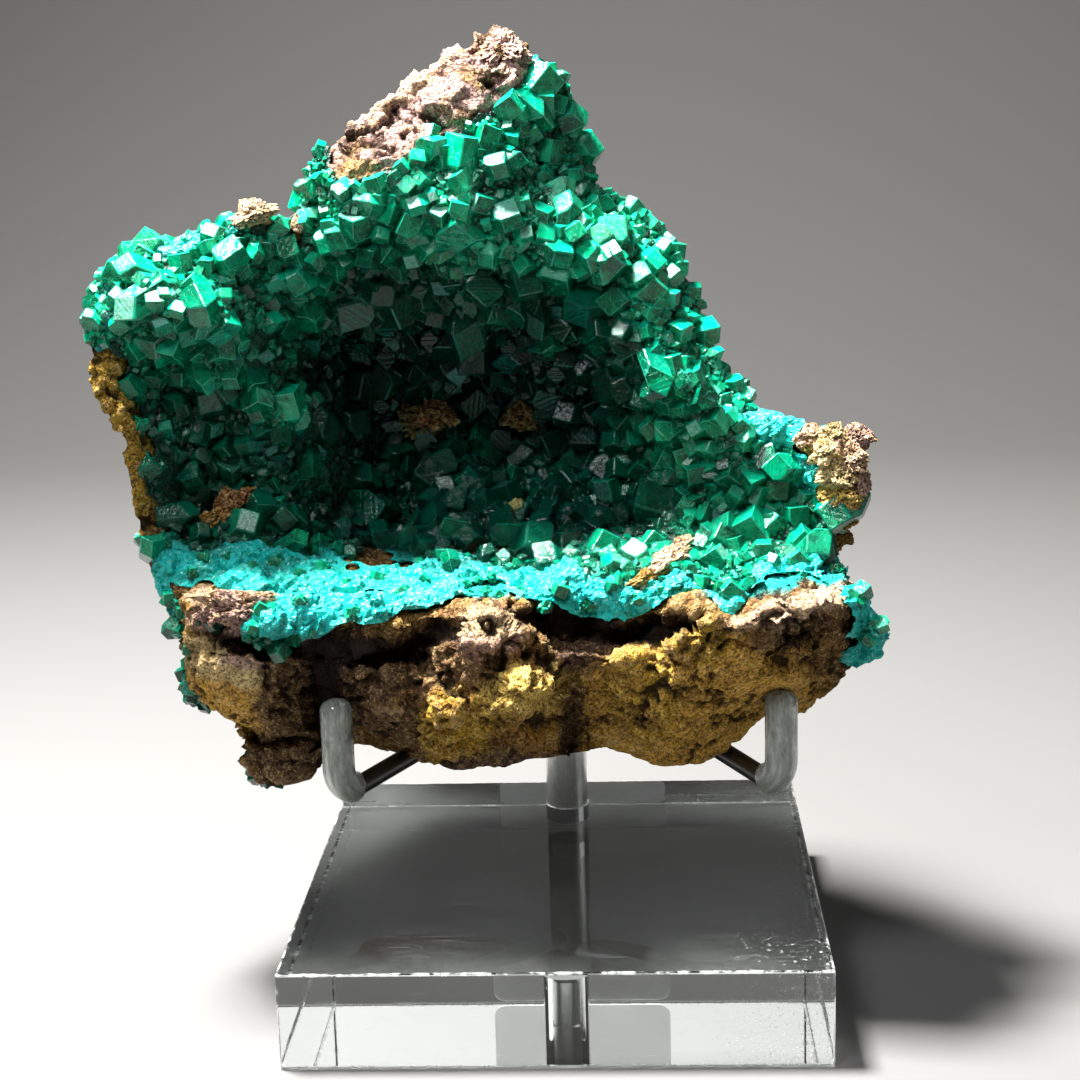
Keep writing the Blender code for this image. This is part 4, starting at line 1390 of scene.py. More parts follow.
@dataclass(frozen=True)
class Habit:
    """How crystals grow in one part of the druse.

    The size is the crystals' radius in millimetres, the tone runs from deep
    (0) to bright (1), and the crust from single crystals (0) to a fine
    turquoise crust (1).
    """

    spot: Spot
    size: float
    # The tone is partly painted light and shade: low in the vug's shade, high on the lit rims and slopes.
    tone: float
    crust: float = 0.0


@dataclass(frozen=True)
class Growth:
    """One size class of crystals that is stood on the druse."""

    name: str
    lowest: float
    highest: float
    smallest: float
    largest: float
    spacing: float
    share: float
    seed: int
    tilt: float = 0.7


def crystal_mesh(
    name: str, top: float, foot: float, blunt: float = 0.06, frost_and_glare_face: int | None = None, uneven: float = 0.0
) -> bpy.types.Mesh:
    """Build a six-sided crystal with a three-faced tip.

    The crystal is what is left of a cube when each of its faces is cut. Faces
    that lie unevenly far out give the lopsided shapes of grown crystals.

    Args:
        name: The mesh's name, which also seeds its unevenness.
        top: The tip's height, in radii.
        foot: The foot's depth, in radii.
        blunt: How much the edges are worn off.
        frost_and_glare_face: Which of the three tip faces is whitened, if any, for etching and for painted glare.
        uneven: How unevenly far out the faces lie, in radii.

    Returns:
        The crystal, one unit in radius. Its worn edges, its whitened face, a
        number for each face and the height are marked in the attributes
        edge, frost, facet and rise.
    """
    chance = np.random.default_rng(sum(ord(letter) for letter in name))
    tilt = math.atan(TIP_SLOPE)
    cuts = [(Vector((0.0, 0.0, -1.0)), foot)]
    for step in range(3):
        angle = math.pi / 1.5 * step
        way = Vector((math.sin(tilt) * math.cos(angle), math.sin(tilt) * math.sin(angle), math.cos(tilt)))
        cuts.append((way, top * math.cos(tilt) + chance.uniform(-uneven, uneven)))
    for step in range(6):
        angle = math.pi / 3.0 * (step + 0.5)
        way = Vector((math.cos(angle), math.sin(angle), 0.0))
        cuts.append((way, 0.866 + chance.uniform(-1.6 * uneven, uneven)))
    shape = bmesh.new()
    bmesh.ops.create_cube(shape, size=8.0)
    for way, reach in cuts:
        parts = [*shape.verts, *shape.edges, *shape.faces]
        bmesh.ops.bisect_plane(shape, geom=parts, plane_co=way * reach, plane_no=way, clear_outer=True)
        bmesh.ops.holes_fill(shape, edges=[edge for edge in shape.edges if edge.is_boundary])
    bmesh.ops.remove_doubles(shape, verts=shape.verts, dist=0.03)
    bmesh.ops.recalc_face_normals(shape, faces=shape.faces)
    if blunt > 0.0:
        worn = [edge for edge in shape.edges if any(vertex.co.z > -foot + 0.01 for vertex in edge.verts)]
        bmesh.ops.bevel(
            shape, geom=worn, offset=blunt, segments=1, profile=0.5, affect="EDGES", clamp_overlap=True
        )
    edge_layer = shape.faces.layers.float.new("edge")
    frost_and_glare_layer = shape.faces.layers.float.new("frost")
    facet_layer = shape.faces.layers.float.new("facet")
    rise_layer = shape.verts.layers.float.new("rise")
    tints = chance.uniform(0.0, 1.0, len(cuts))
    for face in shape.faces:
        flat = [way.dot(face.normal) > 0.995 for way, _ in cuts]
        face[edge_layer] = 0.0 if any(flat) else 1.0
        face[frost_and_glare_layer] = 1.0 if frost_and_glare_face is not None and flat[frost_and_glare_face + 1] else 0.0
        face[facet_layer] = tints[flat.index(True)] if any(flat) else 0.5
    for vertex in shape.verts:
        vertex[rise_layer] = min(max((vertex.co.z + 0.3) / (top + 0.3), 0.0), 1.0)
    mesh = bpy.data.meshes.new(name)
    shape.to_mesh(mesh)
    shape.free()
    return mesh


def crystal_set(name: str, meshes: Iterable[bpy.types.Mesh]) -> bpy.types.Collection:
    """Gather crystal shapes for a recipe to pick from."""
    made = bpy.data.collections.new(name)
    for mesh in meshes:
        made.objects.link(bpy.data.objects.new(mesh.name, mesh))
    return made


class Gleam(Enum):
    """The lamp that a placed crystal's tip face mirrors to the camera."""

    NONE = None
    KEY = KEY_PLACE
    FRONT = FRONT_PLACE


@dataclass(frozen=True)
class Placed:
    """A crystal or a tight group of crystals at a pixel of the photograph.

    The radius is in pixels. The axis says which way the crystal points, in
    the camera's right, up and near directions.
    """

    across: float
    down: float
    radius: float
    # The tone is partly painted light and shade: low in the vug's shade, high where light falls.
    tone: float
    count: int = 1
    axis: tuple[float, float, float] = (0.0, 0.45, 0.75)
    length: float = 1.0
    gleam: Gleam = Gleam.NONE
    # A whitened tip face stands for etching and also paints a lamp's glare.
    frost_and_glare_face: bool = False

    def lamp(self) -> Vector:
        """Return where the mirrored lamp is, moved aside for a wide face so that it doesn't burn out."""
        return Vector(self.gleam.value) + Vector((0.13, -0.05, 0.0)) * (self.radius > 11.0)


PLACED_CRYSTALS: tuple[Placed, ...] = (
    Placed(540, 85, 30, 0.95, 9, axis=(0.2,0.6,0.6)),
    Placed(512, 108, 22, 0.80, 5, axis=(-0.2,0.5,0.7)),
    Placed(572, 102, 14, 0.80, axis=(0.7,0.4,0.4)),
    Placed(576, 138, 14, 0.65, axis=(0.5,0.3,0.7)),
    Placed(548, 152, 24, 0.80, 4),
    Placed(508, 128, 9, 0.60, gleam=Gleam.KEY),
    Placed(534, 168, 8, 0.40, gleam=Gleam.KEY),
    Placed(562, 172, 9, 0.50, gleam=Gleam.KEY),
    Placed(580, 190, 15, 0.60, 2, axis=(0.6,0.3,0.6)),
    Placed(556, 205, 12, 0.45, gleam=Gleam.FRONT),
    Placed(464, 152, 30, 0.95, 6),
    Placed(432, 150, 21, 0.85, 5, frost_and_glare_face=True),
    Placed(376, 186, 18, 1.00, 4),
    Placed(407, 188, 13, 0.45, gleam=Gleam.FRONT),
    Placed(402, 168, 10, 0.85),
    Placed(312, 190, 18, 0.80, 3, axis=(-0.4,0.4,0.7)),
    Placed(323, 146, 11, 0.90, 2, axis=(-0.3,0.7,0.5)),
    Placed(326, 212, 11, 0.70, gleam=Gleam.KEY),
    Placed(355, 230, 24, 0.60, 2, frost_and_glare_face=True),
    Placed(338, 266, 17, 0.60, gleam=Gleam.KEY),
    Placed(450, 178, 9, 0.45, gleam=Gleam.KEY),
    Placed(473, 180, 10, 0.45, gleam=Gleam.FRONT),
    Placed(432, 182, 6, 0.50, gleam=Gleam.KEY),
    Placed(462, 236, 32, 1.00, 6),
    Placed(508, 216, 24, 1.00, 2, gleam=Gleam.KEY),
    Placed(480, 204, 18, 1.00, 2, frost_and_glare_face=True),
    Placed(440, 216, 14, 0.90, gleam=Gleam.KEY),
    Placed(420, 232, 12, 0.70),
    Placed(398, 268, 17, 0.40, gleam=Gleam.KEY),
    Placed(486, 276, 11, 0.35, gleam=Gleam.FRONT),
    Placed(505, 250, 15, 0.90, 4),
    Placed(548, 276, 13, 0.45, gleam=Gleam.KEY),
    Placed(585, 240, 20, 0.80, 2, frost_and_glare_face=True),
    Placed(560, 232, 13, 0.75, 2),
    Placed(500, 195, 9, 0.50, gleam=Gleam.FRONT),
    Placed(455, 200, 9, 0.50, gleam=Gleam.KEY),
    Placed(632, 208, 17, 1.00, 2, axis=(0.5,0.6,0.5)),
    Placed(605, 205, 14, 0.85, axis=(0.1,0.7,0.6)),
    Placed(616, 232, 27, 0.85, 7, gleam=Gleam.FRONT),
    Placed(612, 255, 18, 0.80, 3, gleam=Gleam.KEY),
    Placed(602, 275, 22, 0.60, 3),
    Placed(662, 250, 14, 0.90, gleam=Gleam.KEY),
    Placed(640, 232, 12, 0.85),
    Placed(684, 272, 16, 0.82, gleam=Gleam.KEY),
    Placed(692, 292, 13, 0.80, axis=(0.7,0.1,0.6)),
    Placed(650, 290, 28, 1.00, 7),
    Placed(655, 275, 8, 0.60, gleam=Gleam.FRONT),
    Placed(700, 333, 17, 0.95, axis=(0.9,0.1,0.35), length=1.3),
    Placed(683, 318, 8, 0.60, gleam=Gleam.FRONT),
    Placed(636, 338, 15, 0.50, 2, gleam=Gleam.FRONT),
    Placed(640, 350, 10, 0.50, gleam=Gleam.KEY),
    Placed(670, 366, 22, 1.00, 4),
    Placed(705, 385, 20, 0.95, 6),
    Placed(735, 384, 15, 0.80, 2, axis=(0.6,0.5,0.5)),
    Placed(748, 396, 11, 0.80, axis=(0.6,0.5,0.5)),
    Placed(666, 402, 18, 0.35, gleam=Gleam.KEY),
    Placed(716, 425, 20, 0.95, 3),
    Placed(700, 405, 8, 0.55, gleam=Gleam.FRONT),
    Placed(718, 403, 7, 0.55, gleam=Gleam.FRONT),
    Placed(640, 428, 20, 0.50, 2, gleam=Gleam.KEY),
    Placed(740, 425, 12, 0.75),
    Placed(690, 350, 12, 1.00, 3),
    Placed(585, 371, 12, 0.10, gleam=Gleam.FRONT),
    Placed(562, 306, 11, 0.25, gleam=Gleam.FRONT),
    Placed(590, 314, 14, 0.30, 2, gleam=Gleam.FRONT),
    Placed(547, 346, 19, 0.30, axis=(0.35,0.35,0.75)),
    Placed(602, 394, 8, 0.25, gleam=Gleam.FRONT),
    Placed(600, 345, 22, 0.22, 3),
    Placed(400, 315, 17, 0.12),
    Placed(447, 320, 15, 0.14),
    Placed(452, 346, 15, 0.16),
    Placed(422, 300, 15, 0.12),
    Placed(462, 296, 15, 0.12),
    Placed(500, 312, 22, 0.25, length=1.3),
    Placed(450, 367, 20, 0.15, axis=(0.9,0.1,0.4), length=1.3),
    Placed(362, 345, 8, 0.30, gleam=Gleam.FRONT),
    Placed(370, 390, 10, 0.20, gleam=Gleam.FRONT),
    Placed(488, 370, 12, 0.15, gleam=Gleam.FRONT),
    Placed(520, 285, 14, 0.30),
    Placed(440, 270, 16, 0.30, 2),
    Placed(360, 300, 17, 0.18, 2),
    Placed(530, 385, 13, 0.08),
    Placed(478, 440, 20, 0.12, axis=(-0.1,0.2,0.95)),
    Placed(428, 472, 14, 0.12),
    Placed(467, 480, 21, 0.16, 2),
    Placed(515, 475, 12, 0.14),
    Placed(620, 450, 15, 0.12, gleam=Gleam.FRONT),
    Placed(594, 438, 8, 0.15, gleam=Gleam.FRONT),
    Placed(540, 498, 19, 0.18, 2),
    Placed(515, 540, 31, 0.22, axis=(0.25,0.35,0.9)),
    Placed(460, 537, 23, 0.20, axis=(-0.5,0.5,0.6), length=1.3),
    Placed(448, 500, 8, 0.20, gleam=Gleam.KEY),
    Placed(502, 500, 9, 0.20, gleam=Gleam.KEY),
    Placed(610, 490, 27, 0.28, 6, frost_and_glare_face=True),
    Placed(598, 500, 11, 0.30, gleam=Gleam.FRONT),
    Placed(625, 494, 11, 0.30, gleam=Gleam.FRONT),
    Placed(380, 502, 21, 0.22, 3),
    Placed(420, 520, 18, 0.12, 2),
    Placed(570, 500, 15, 0.15, 2),
    Placed(560, 470, 14, 0.12, 2),
    Placed(655, 510, 12, 0.25, 2, gleam=Gleam.FRONT),
    Placed(665, 470, 16, 0.20, 3),
    Placed(640, 470, 16, 0.25),
    Placed(150, 245, 24, 0.85, 6, axis=(-0.1,0.8,0.5)),
    Placed(212, 234, 13, 0.75, gleam=Gleam.KEY),
    Placed(115, 272, 18, 0.90, 4, axis=(-0.4,0.7,0.5)),
    Placed(175, 235, 16, 0.90, 4, frost_and_glare_face=True, axis=(0,0.8,0.5)),
    Placed(120, 300, 18, 0.80, 2, gleam=Gleam.KEY),
    Placed(155, 300, 18, 0.75, 2, gleam=Gleam.KEY),
    Placed(195, 288, 20, 0.75, 2, frost_and_glare_face=True),
    Placed(205, 325, 30, 0.75, 8),
    Placed(236, 336, 17, 0.70, 4),
    Placed(160, 354, 18, 0.95, gleam=Gleam.FRONT),
    Placed(92, 320, 15, 0.90, 3, axis=(-0.7,0.1,0.6)),
    Placed(120, 325, 17, 0.85, 2),
    Placed(226, 280, 15, 0.60, gleam=Gleam.KEY),
    Placed(246, 290, 13, 0.30, axis=(0.2,0.3,0.9)),
    Placed(297, 260, 13, 0.85),
    Placed(268, 250, 16, 0.45, 2, frost_and_glare_face=True),
    Placed(293, 301, 12, 0.30, gleam=Gleam.KEY),
    Placed(273, 305, 14, 0.30, 2),
    Placed(286, 326, 18, 0.35, axis=(0.1,0.5,0.8)),
    Placed(266, 355, 14, 0.12),
    Placed(240, 245, 14, 0.30, 2),
    Placed(280, 228, 14, 0.80, 3),
    Placed(180, 262, 16, 0.80, 3),
    Placed(133, 390, 17, 0.30, axis=(-0.3,0.3,0.8)),
    Placed(157, 390, 8, 0.20, gleam=Gleam.FRONT),
    Placed(183, 376, 11, 0.50, 2),
    Placed(178, 396, 7, 0.40, gleam=Gleam.KEY),
    Placed(140, 425, 13, 0.50, 2),
    Placed(165, 430, 13, 0.35, gleam=Gleam.KEY),
    Placed(212, 430, 15, 0.20),
    Placed(185, 434, 9, 0.25, gleam=Gleam.FRONT),
    Placed(259, 414, 16, 0.55, 2),
    Placed(288, 404, 24, 0.88, axis=(0.15,0.3,0.9)),
    Placed(302, 418, 16, 0.80, 2),
    Placed(268, 392, 10, 0.70, gleam=Gleam.KEY),
    Placed(232, 470, 22, 0.28, gleam=Gleam.KEY),
    Placed(272, 485, 15, 0.40, 2),
    Placed(262, 460, 8, 0.40, gleam=Gleam.KEY),
    Placed(297, 474, 17, 0.35),
    Placed(150, 468, 20, 0.32, 2),
    Placed(160, 466, 8, 0.40, gleam=Gleam.FRONT),
    Placed(200, 492, 15, 0.20),
    Placed(280, 506, 15, 0.35, 2),
    Placed(323, 486, 11, 0.35, gleam=Gleam.KEY),
    Placed(322, 511, 11, 0.15, gleam=Gleam.FRONT),
    Placed(360, 500, 22, 0.25, 3),
    Placed(248, 528, 23, 0.45, gleam=Gleam.FRONT, frost_and_glare_face=True),
    Placed(286, 545, 12, 0.75, axis=(1.0,0.05,0.1), length=2.0),
    Placed(155, 547, 21, 0.65, 4),
    Placed(348, 556, 13, 0.30, gleam=Gleam.KEY),
    Placed(185, 500, 14, 0.15, 2),
    Placed(178, 455, 14, 0.12, 2),
    Placed(750, 528, 31, 0.75, 4),
    Placed(762, 496, 26, 0.62, 7, frost_and_glare_face=True),
    Placed(714, 515, 12, 0.75, 3, frost_and_glare_face=True),
    Placed(720, 500, 13, 0.80, 2),
    Placed(802, 541, 23, 0.70, 2),
    Placed(812, 520, 12, 0.75, 2),
    Placed(722, 466, 11, 0.30, gleam=Gleam.FRONT),
    Placed(736, 455, 8, 0.35, gleam=Gleam.FRONT),
    Placed(708, 474, 12, 0.25, gleam=Gleam.FRONT),
    Placed(690, 484, 14, 0.15, 2),
    Placed(770, 520, 16, 0.75, 2),
    Placed(735, 545, 16, 0.70, 2),
    Placed(603, 545, 25, 0.60, 3, axis=(0,0.8,0.5)),
    Placed(650, 545, 20, 0.70, 2, axis=(0.2,0.8,0.5)),
    Placed(609, 557, 14, 0.70, gleam=Gleam.FRONT),
    Placed(570, 556, 13, 0.55, gleam=Gleam.FRONT),
    Placed(545, 563, 9, 0.70, axis=(0,0.9,0.4)),
    Placed(450, 562, 11, 0.70, axis=(-0.2,0.9,0.3), length=1.3),
    Placed(713, 560, 22, 0.55, 6, frost_and_glare_face=True),
    Placed(702, 582, 14, 0.60, 3),
    Placed(732, 590, 17, 0.60, 4),
    Placed(772, 560, 11, 0.70, 2, gleam=Gleam.KEY),
    Placed(611, 586, 10, 0.35, 2),
    Placed(560, 590, 13, 0.45, 3),
    Placed(862, 592, 15, 0.90, 2, axis=(0.6,0.5,0.5)),
    Placed(868, 640, 12, 0.95, 3, axis=(0.7,0.1,0.6)),
    Placed(880, 625, 12, 0.95, 3, axis=(0.8,0.1,0.6)),
    Placed(800, 558, 14, 0.75, 3),
    Placed(168, 600, 13, 0.70, 6),
    Placed(182, 612, 11, 0.60, 5),
    Placed(262, 608, 12, 0.90, 6),
    Placed(252, 628, 10, 0.80, 5),
    Placed(178, 605, 11, 0.60, 3),
    Placed(176, 632, 12, 0.45, 3),
    Placed(196, 622, 9, 0.20, 2),
    Placed(212, 626, 10, 0.10, 3),
    Placed(186, 650, 8, 0.35, 3),
    Placed(183, 690, 9, 0.40, 3),
    Placed(470, 592, 6, 0.80, 5),
    Placed(486, 590, 7, 0.85, 6),
    Placed(500, 593, 6, 0.80, 5),
    Placed(466, 583, 6, 0.75, 5),
    Placed(192, 572, 9, 0.70, 6),
    Placed(205, 556, 8, 0.80, 6),
    Placed(228, 558, 9, 0.75, 6),
    Placed(252, 566, 8, 0.70, 6),
    Placed(276, 560, 9, 0.80, 7),
    Placed(300, 572, 8, 0.70, 6),
    Placed(322, 566, 9, 0.80, 6),
    Placed(346, 582, 8, 0.75, 6),
    Placed(376, 576, 9, 0.80, 6),
    Placed(402, 590, 8, 0.75, 6),
    Placed(424, 578, 8, 0.80, 6),
    Placed(300, 600, 8, 0.70, 6),
    Placed(352, 612, 8, 0.65, 6),
    Placed(520, 590, 8, 0.75, 6),
    Placed(545, 604, 8, 0.70, 6),
    Placed(590, 606, 8, 0.70, 6),
    Placed(640, 600, 9, 0.70, 6),
    Placed(662, 590, 8, 0.75, 6),
    Placed(752, 580, 8, 0.75, 6),
    Placed(836, 568, 9, 0.80, 6),
    Placed(876, 596, 9, 0.85, 6),
    Placed(884, 650, 8, 0.85, 6),
    Placed(478, 580, 6, 0.75, 5),
    Placed(491, 580, 6, 0.75, 5),
    Placed(504, 584, 6, 0.75, 5),
    Placed(788, 575, 6, 0.75, 5),
    Placed(802, 574, 7, 0.75, 5),
    Placed(816, 577, 6, 0.75, 5),
)


class CrystalHeap:
    """Crystals gathered into one mesh."""

    def __init__(self) -> None:
        """Start an empty heap."""
        self.corners: list[np.ndarray] = []
        self.faces: list[list[int]] = []
        self.marks: dict[str, list[float]] = {"edge": [], "frost": [], "facet": []}
        self.levels: dict[str, list[float]] = {"tone": [], "shade": [], "rise": []}
        self.total = 0

    def add(self, shape: bpy.types.Mesh, turn: Matrix, tone: float, shade: float, frost: float) -> None:
        """Add a crystal.

        Args:
            shape: The crystal's shape.
            turn: Its place, turn and size.
            tone: How bright it is.
            shade: Its own tint, 0 to 1.
            frost: How white its whitened face is, for etching and painted glare.
        """
        points = points_of(shape)
        matrix = np.array(turn)
        points = points @ matrix[:3, :3].T + matrix[:3, 3]
        for face in shape.polygons:
            self.faces.append([self.total + corner for corner in face.vertices])
        for name, scale in (("edge", 1.0), ("frost", frost), ("facet", 1.0)):
            self.marks[name] += [item.value * scale for item in shape.attributes[name].data]
        self.corners.append(points)
        self.levels["tone"] += [tone] * len(points)
        self.levels["shade"] += [shade] * len(points)
        self.levels["rise"] += [item.value for item in shape.attributes["rise"].data]
        self.total += len(points)

    def build(self, name: str) -> bpy.types.Object:
        """Make the heap's mesh."""
        mesh = bpy.data.meshes.new(name)
        mesh.from_pydata(np.concatenate(self.corners).tolist(), [], self.faces)
        for key, values in self.levels.items():
            paint(mesh, key, np.array(values))
        for key, values in self.marks.items():
            mesh.attributes.new(key, "FLOAT", "FACE").data.foreach_set("value", values)
        mesh.update()
        return link(name, mesh)


@dataclass
class Druse:
    """The crystals and crust that line the vug and cover the shelf."""

    node: str = "dioptase_druse"
    voxel: float = 1.0 * MM
    # Habit tones paint shade into the vug and its walls and light onto the lit rims and slopes.
    habits: tuple[Habit, ...] = (
        Habit(Spot("back wall", 460, 340, 200, 140), 3.6, 0.10),
        Habit(Spot("deep vug", 450, 410, 170, 85), 3.4, 0.0),
        Habit(Spot("floor", 480, 500, 190, 55), 4.2, 0.08),
        Habit(Spot("left wall", 220, 470, 110, 110), 3.0, 0.14),
        Habit(Spot("right of the peak", 525, 110, 70, 95), 3.2, 0.85),
        Habit(Spot("right of the peak, low", 560, 190, 50, 40), 3.0, 0.60),
        Habit(Spot("under the patch", 430, 160, 100, 55), 2.8, 0.70),
        Habit(Spot("large cluster", 475, 228, 95, 48), 3.4, 1.00),
        Habit(Spot("left cluster", 330, 205, 56, 62), 3.0, 0.80),
        Habit(Spot("slope top", 605, 235, 60, 65), 3.4, 0.90),
        Habit(Spot("slope", 682, 330, 46, 130, -28), 2.8, 1.00),
        Habit(Spot("slope foot", 700, 430, 60, 45), 2.6, 0.60),
        Habit(Spot("left lobe", 185, 295, 140, 95), 2.6, 0.70),
        Habit(Spot("lobe rim", 185, 226, 130, 24, -22), 1.6, 0.90, 0.65),
        Habit(Spot("left end of the lobe", 95, 300, 26, 50), 1.8, 0.90, 0.35),
        Habit(Spot("right floor", 765, 520, 85, 50), 4.0, 0.45),
        Habit(Spot("bright group", 276, 402, 40, 30), 3.4, 0.60),
        Habit(Spot("branch", 785, 430, 46, 27, 15), 1.0, 0.9, 1.0),
        Habit(Spot("low branch", 815, 472, 30, 24), 1.0, 0.9, 1.0),
        Habit(Spot("left outer crust", 165, 590, 34, 60), 1.4, 0.7, 0.6),
        Habit(Spot("shelf left", 275, 590, 130, 48, 5), 1.0, 0.9, 1.0),
        Habit(Spot("shelf middle", 430, 600, 130, 44), 1.0, 0.9, 1.0),
        Habit(Spot("shelf centre", 560, 600, 95, 36), 1.2, 0.8, 1.0),
        Habit(Spot("shelf right", 690, 606, 90, 36), 1.2, 0.85, 1.0),
        Habit(Spot("shelf end", 800, 578, 75, 28), 1.0, 0.95, 1.0),
        Habit(Spot("end lumps", 872, 620, 34, 62), 1.0, 0.95, 1.0),
        Habit(Spot("crystal row", 615, 550, 58, 20), 3.0, 0.48, 0.2),
        Habit(Spot("crystal row right", 715, 566, 34, 24), 2.6, 0.55, 0.3),
    )
    placed: tuple[Placed, ...] = PLACED_CRYSTALS
    growths: tuple[Growth, ...] = (
        Growth("crystals_large", 3.2, 9.0, 3.8, 6.0, 6.8, 1.0, 11, 0.55),
        Growth("crystals_medium", 2.3, 9.0, 2.5, 4.4, 3.9, 1.0, 23, 0.65),
        Growth("crystals_small", 1.2, 9.0, 1.2, 2.6, 2.6, 0.35, 37, 0.8),
        Growth("crust_crystals", 0.0, 9.0, 0.45, 1.35, 1.03, 1.0, 53, 1.0),
    )

    def build(
        self,
        node: bpy.types.Object,
        rock: BVHTree,
        crust: bpy.types.Material,
        crystal: bpy.types.Material,
    ) -> list[bpy.types.Object]:
        """Build the crust and stand the crystals on it.

        Args:
            node: The CAD node.
            rock: The CAD rock, to tell the outside from the backing.
            crust: The crust's finish.
            crystal: The crystals' finish.

        Returns:
            The pieces.
        """
        body = merged_copy(node, "druse_body")
        grid = body.modifiers.new("Even", "REMESH")
        grid.mode = "VOXEL"
        grid.voxel_size = self.voxel
        soft = body.modifiers.new("Soften", "SMOOTH")
        soft.factor = 0.5
        soft.iterations = 3
        plain(body)
        points = points_of(body.data)
        normals = normals_of(body.data)
        depth = np.array([rock.find_nearest(Vector(point))[3] for point in points]) / MM
        outer = np.clip((depth - 0.9) / 0.6, 0.0, 1.0)
        size, tone, crusted = self._habit(points)
        cells = np.array([noise.voronoi(Vector(point) / (10.5 * MM))[0][0] for point in points])
        swell = (0.46 - cells) * (4.4 - 2.0 * crusted) - 0.2 - (1.0 - crusted) * np.clip(size * 0.55, 0.0, 2.0)
        push = np.maximum(swell, -0.6 * depth) * outer
        points = points + normals * push[:, None] * MM
        move_points(body.data, points)
        paint(body.data, "rough", 0.10 + 0.40 * crusted * outer)
        paint(body.data, "tone", tone)
        paint(body.data, "shade", np.clip(wander(points, 5.0 * MM, 2.0)[:, 0] + 0.5, 0.0, 1.0))
        paint(body.data, "crust", crusted)
        made = [self._skin(body, crust)]
        heap, free = self._place(tree_of(body.data), rock, points)
        made.append(hand_over(dress(heap, crystal, False), "dioptase", self.node))
        paint(body.data, "hollow", np.clip(wander(points, 4.0 * MM, 6.0)[:, 1] * 0.9 + 0.55, 0.0, 1.0))
        made += self._grow(body, size, crusted, outer * free, crust, crystal)
        bpy.data.objects.remove(body)
        return made

    def _skin(self, body: bpy.types.Object, crust: bpy.types.Material) -> bpy.types.Object:
        """Build the crust that the crystals stand on."""
        fine = link("crust_body", body.data.copy())
        shape = bmesh.new()
        shape.from_mesh(fine.data)
        layer = shape.verts.layers.float["rough"]
        edges = {edge for edge in shape.edges if min(vertex[layer] for vertex in edge.verts) > 0.3}
        bmesh.ops.subdivide_edges(shape, edges=list(edges), cuts=1, use_grid_fill=True)
        bmesh.ops.triangulate(shape, faces=[face for face in shape.faces if len(face.verts) > 4])
        shape.to_mesh(fine.data)
        shape.free()
        skin = grown(
            fine,
            "crust",
            roughen_recipe(),
            {
                "Lump Size": 5.5 * MM,
                "Lump Height": 3.4 * MM,
                "Grain Size": 1.8 * MM,
                "Grain Height": 1.3 * MM,
                "Crumb Size": 1.5 * MM,
                "Crumb Height": 0.8 * MM,
                "Pit Size": 5.0 * MM,
                "Pit Depth": 0.6 * MM,
                "Crack Size": 14.0 * MM,
                "Crack Depth": 0.5 * MM,
                "Block Size": 4.0 * MM,
                "Block Height": 1.6 * MM,
                "Seed": 8.0,
                "Material": crust,
            },
        )
        bpy.data.objects.remove(fine)
        return hand_over(dress(skin, crust, False), "dioptase", self.node)

    def _grow(
        self,
        body: bpy.types.Object,
        size: np.ndarray,
        crusted: np.ndarray,
        room: np.ndarray,
        crust: bpy.types.Material,
        crystal: bpy.types.Material,
    ) -> list[bpy.types.Object]:
        """Stand each size class of crystals where it belongs.

        Args:
            body: The carrier.
            size: The habit's crystal size at each point.
            crusted: How crusted each point is.
            room: Where crystals may stand.
            crust: The crust's finish.
            crystal: The crystals' finish.

        Returns:
            One piece for each size class.
        """
        worn = crystal_set(
            "worn_crystals",
            (
                crystal_mesh(f"stub_{number}", top, 1.0, 0.055, frost_and_glare_face, 0.13)
                for number, (top, frost_and_glare_face) in enumerate(
                    ((1.25, None), (1.5, None), (1.05, None), (1.8, None), (1.2, 0), (1.1, None), (1.35, None), (0.95, None))
                )
            ),
        )
        plain_set = crystal_set(
            "small_crystals",
            (
                crystal_mesh(f"bit_{number}", top, 0.9, 0.0, frost_and_glare_face, 0.16)
                for number, (top, frost_and_glare_face) in enumerate(((1.2, None), (1.5, None), (1.1, 0), (1.3, None)))
            ),
        )
        recipe = scatter_recipe()
        made = []
        for growth in self.growths:
            fine = growth.largest < 1.2
            share = np.clip((size - growth.lowest) / 0.3, 0.0, 1.0) * np.clip(1.15 - crusted * 1.5, 0.0, 1.0)
            if fine:
                share = np.clip(crusted * 1.6 - 0.3, 0.0, 1.0)
            paint(body.data, growth.name, share * room)
            material = crust if fine else crystal
            piece = grown(
                body,
                growth.name,
                recipe,
                {
                    "Crystals": plain_set if growth.largest < 2.5 else worn,
                    "Where": growth.name,
                    "Spacing": growth.spacing * MM,
                    "Density": growth.share * 3.0 / (growth.spacing * MM) ** 2,
                    "Smallest": growth.smallest * MM,
                    "Largest": growth.largest * MM,
                    "Tilt": growth.tilt,
                    "Sink": 0.45 * growth.smallest * MM,
                    "Seed": growth.seed,
                    "Material": material,
                },
            )
            made.append(hand_over(dress(piece, material, False), "dioptase", self.node))
        return made

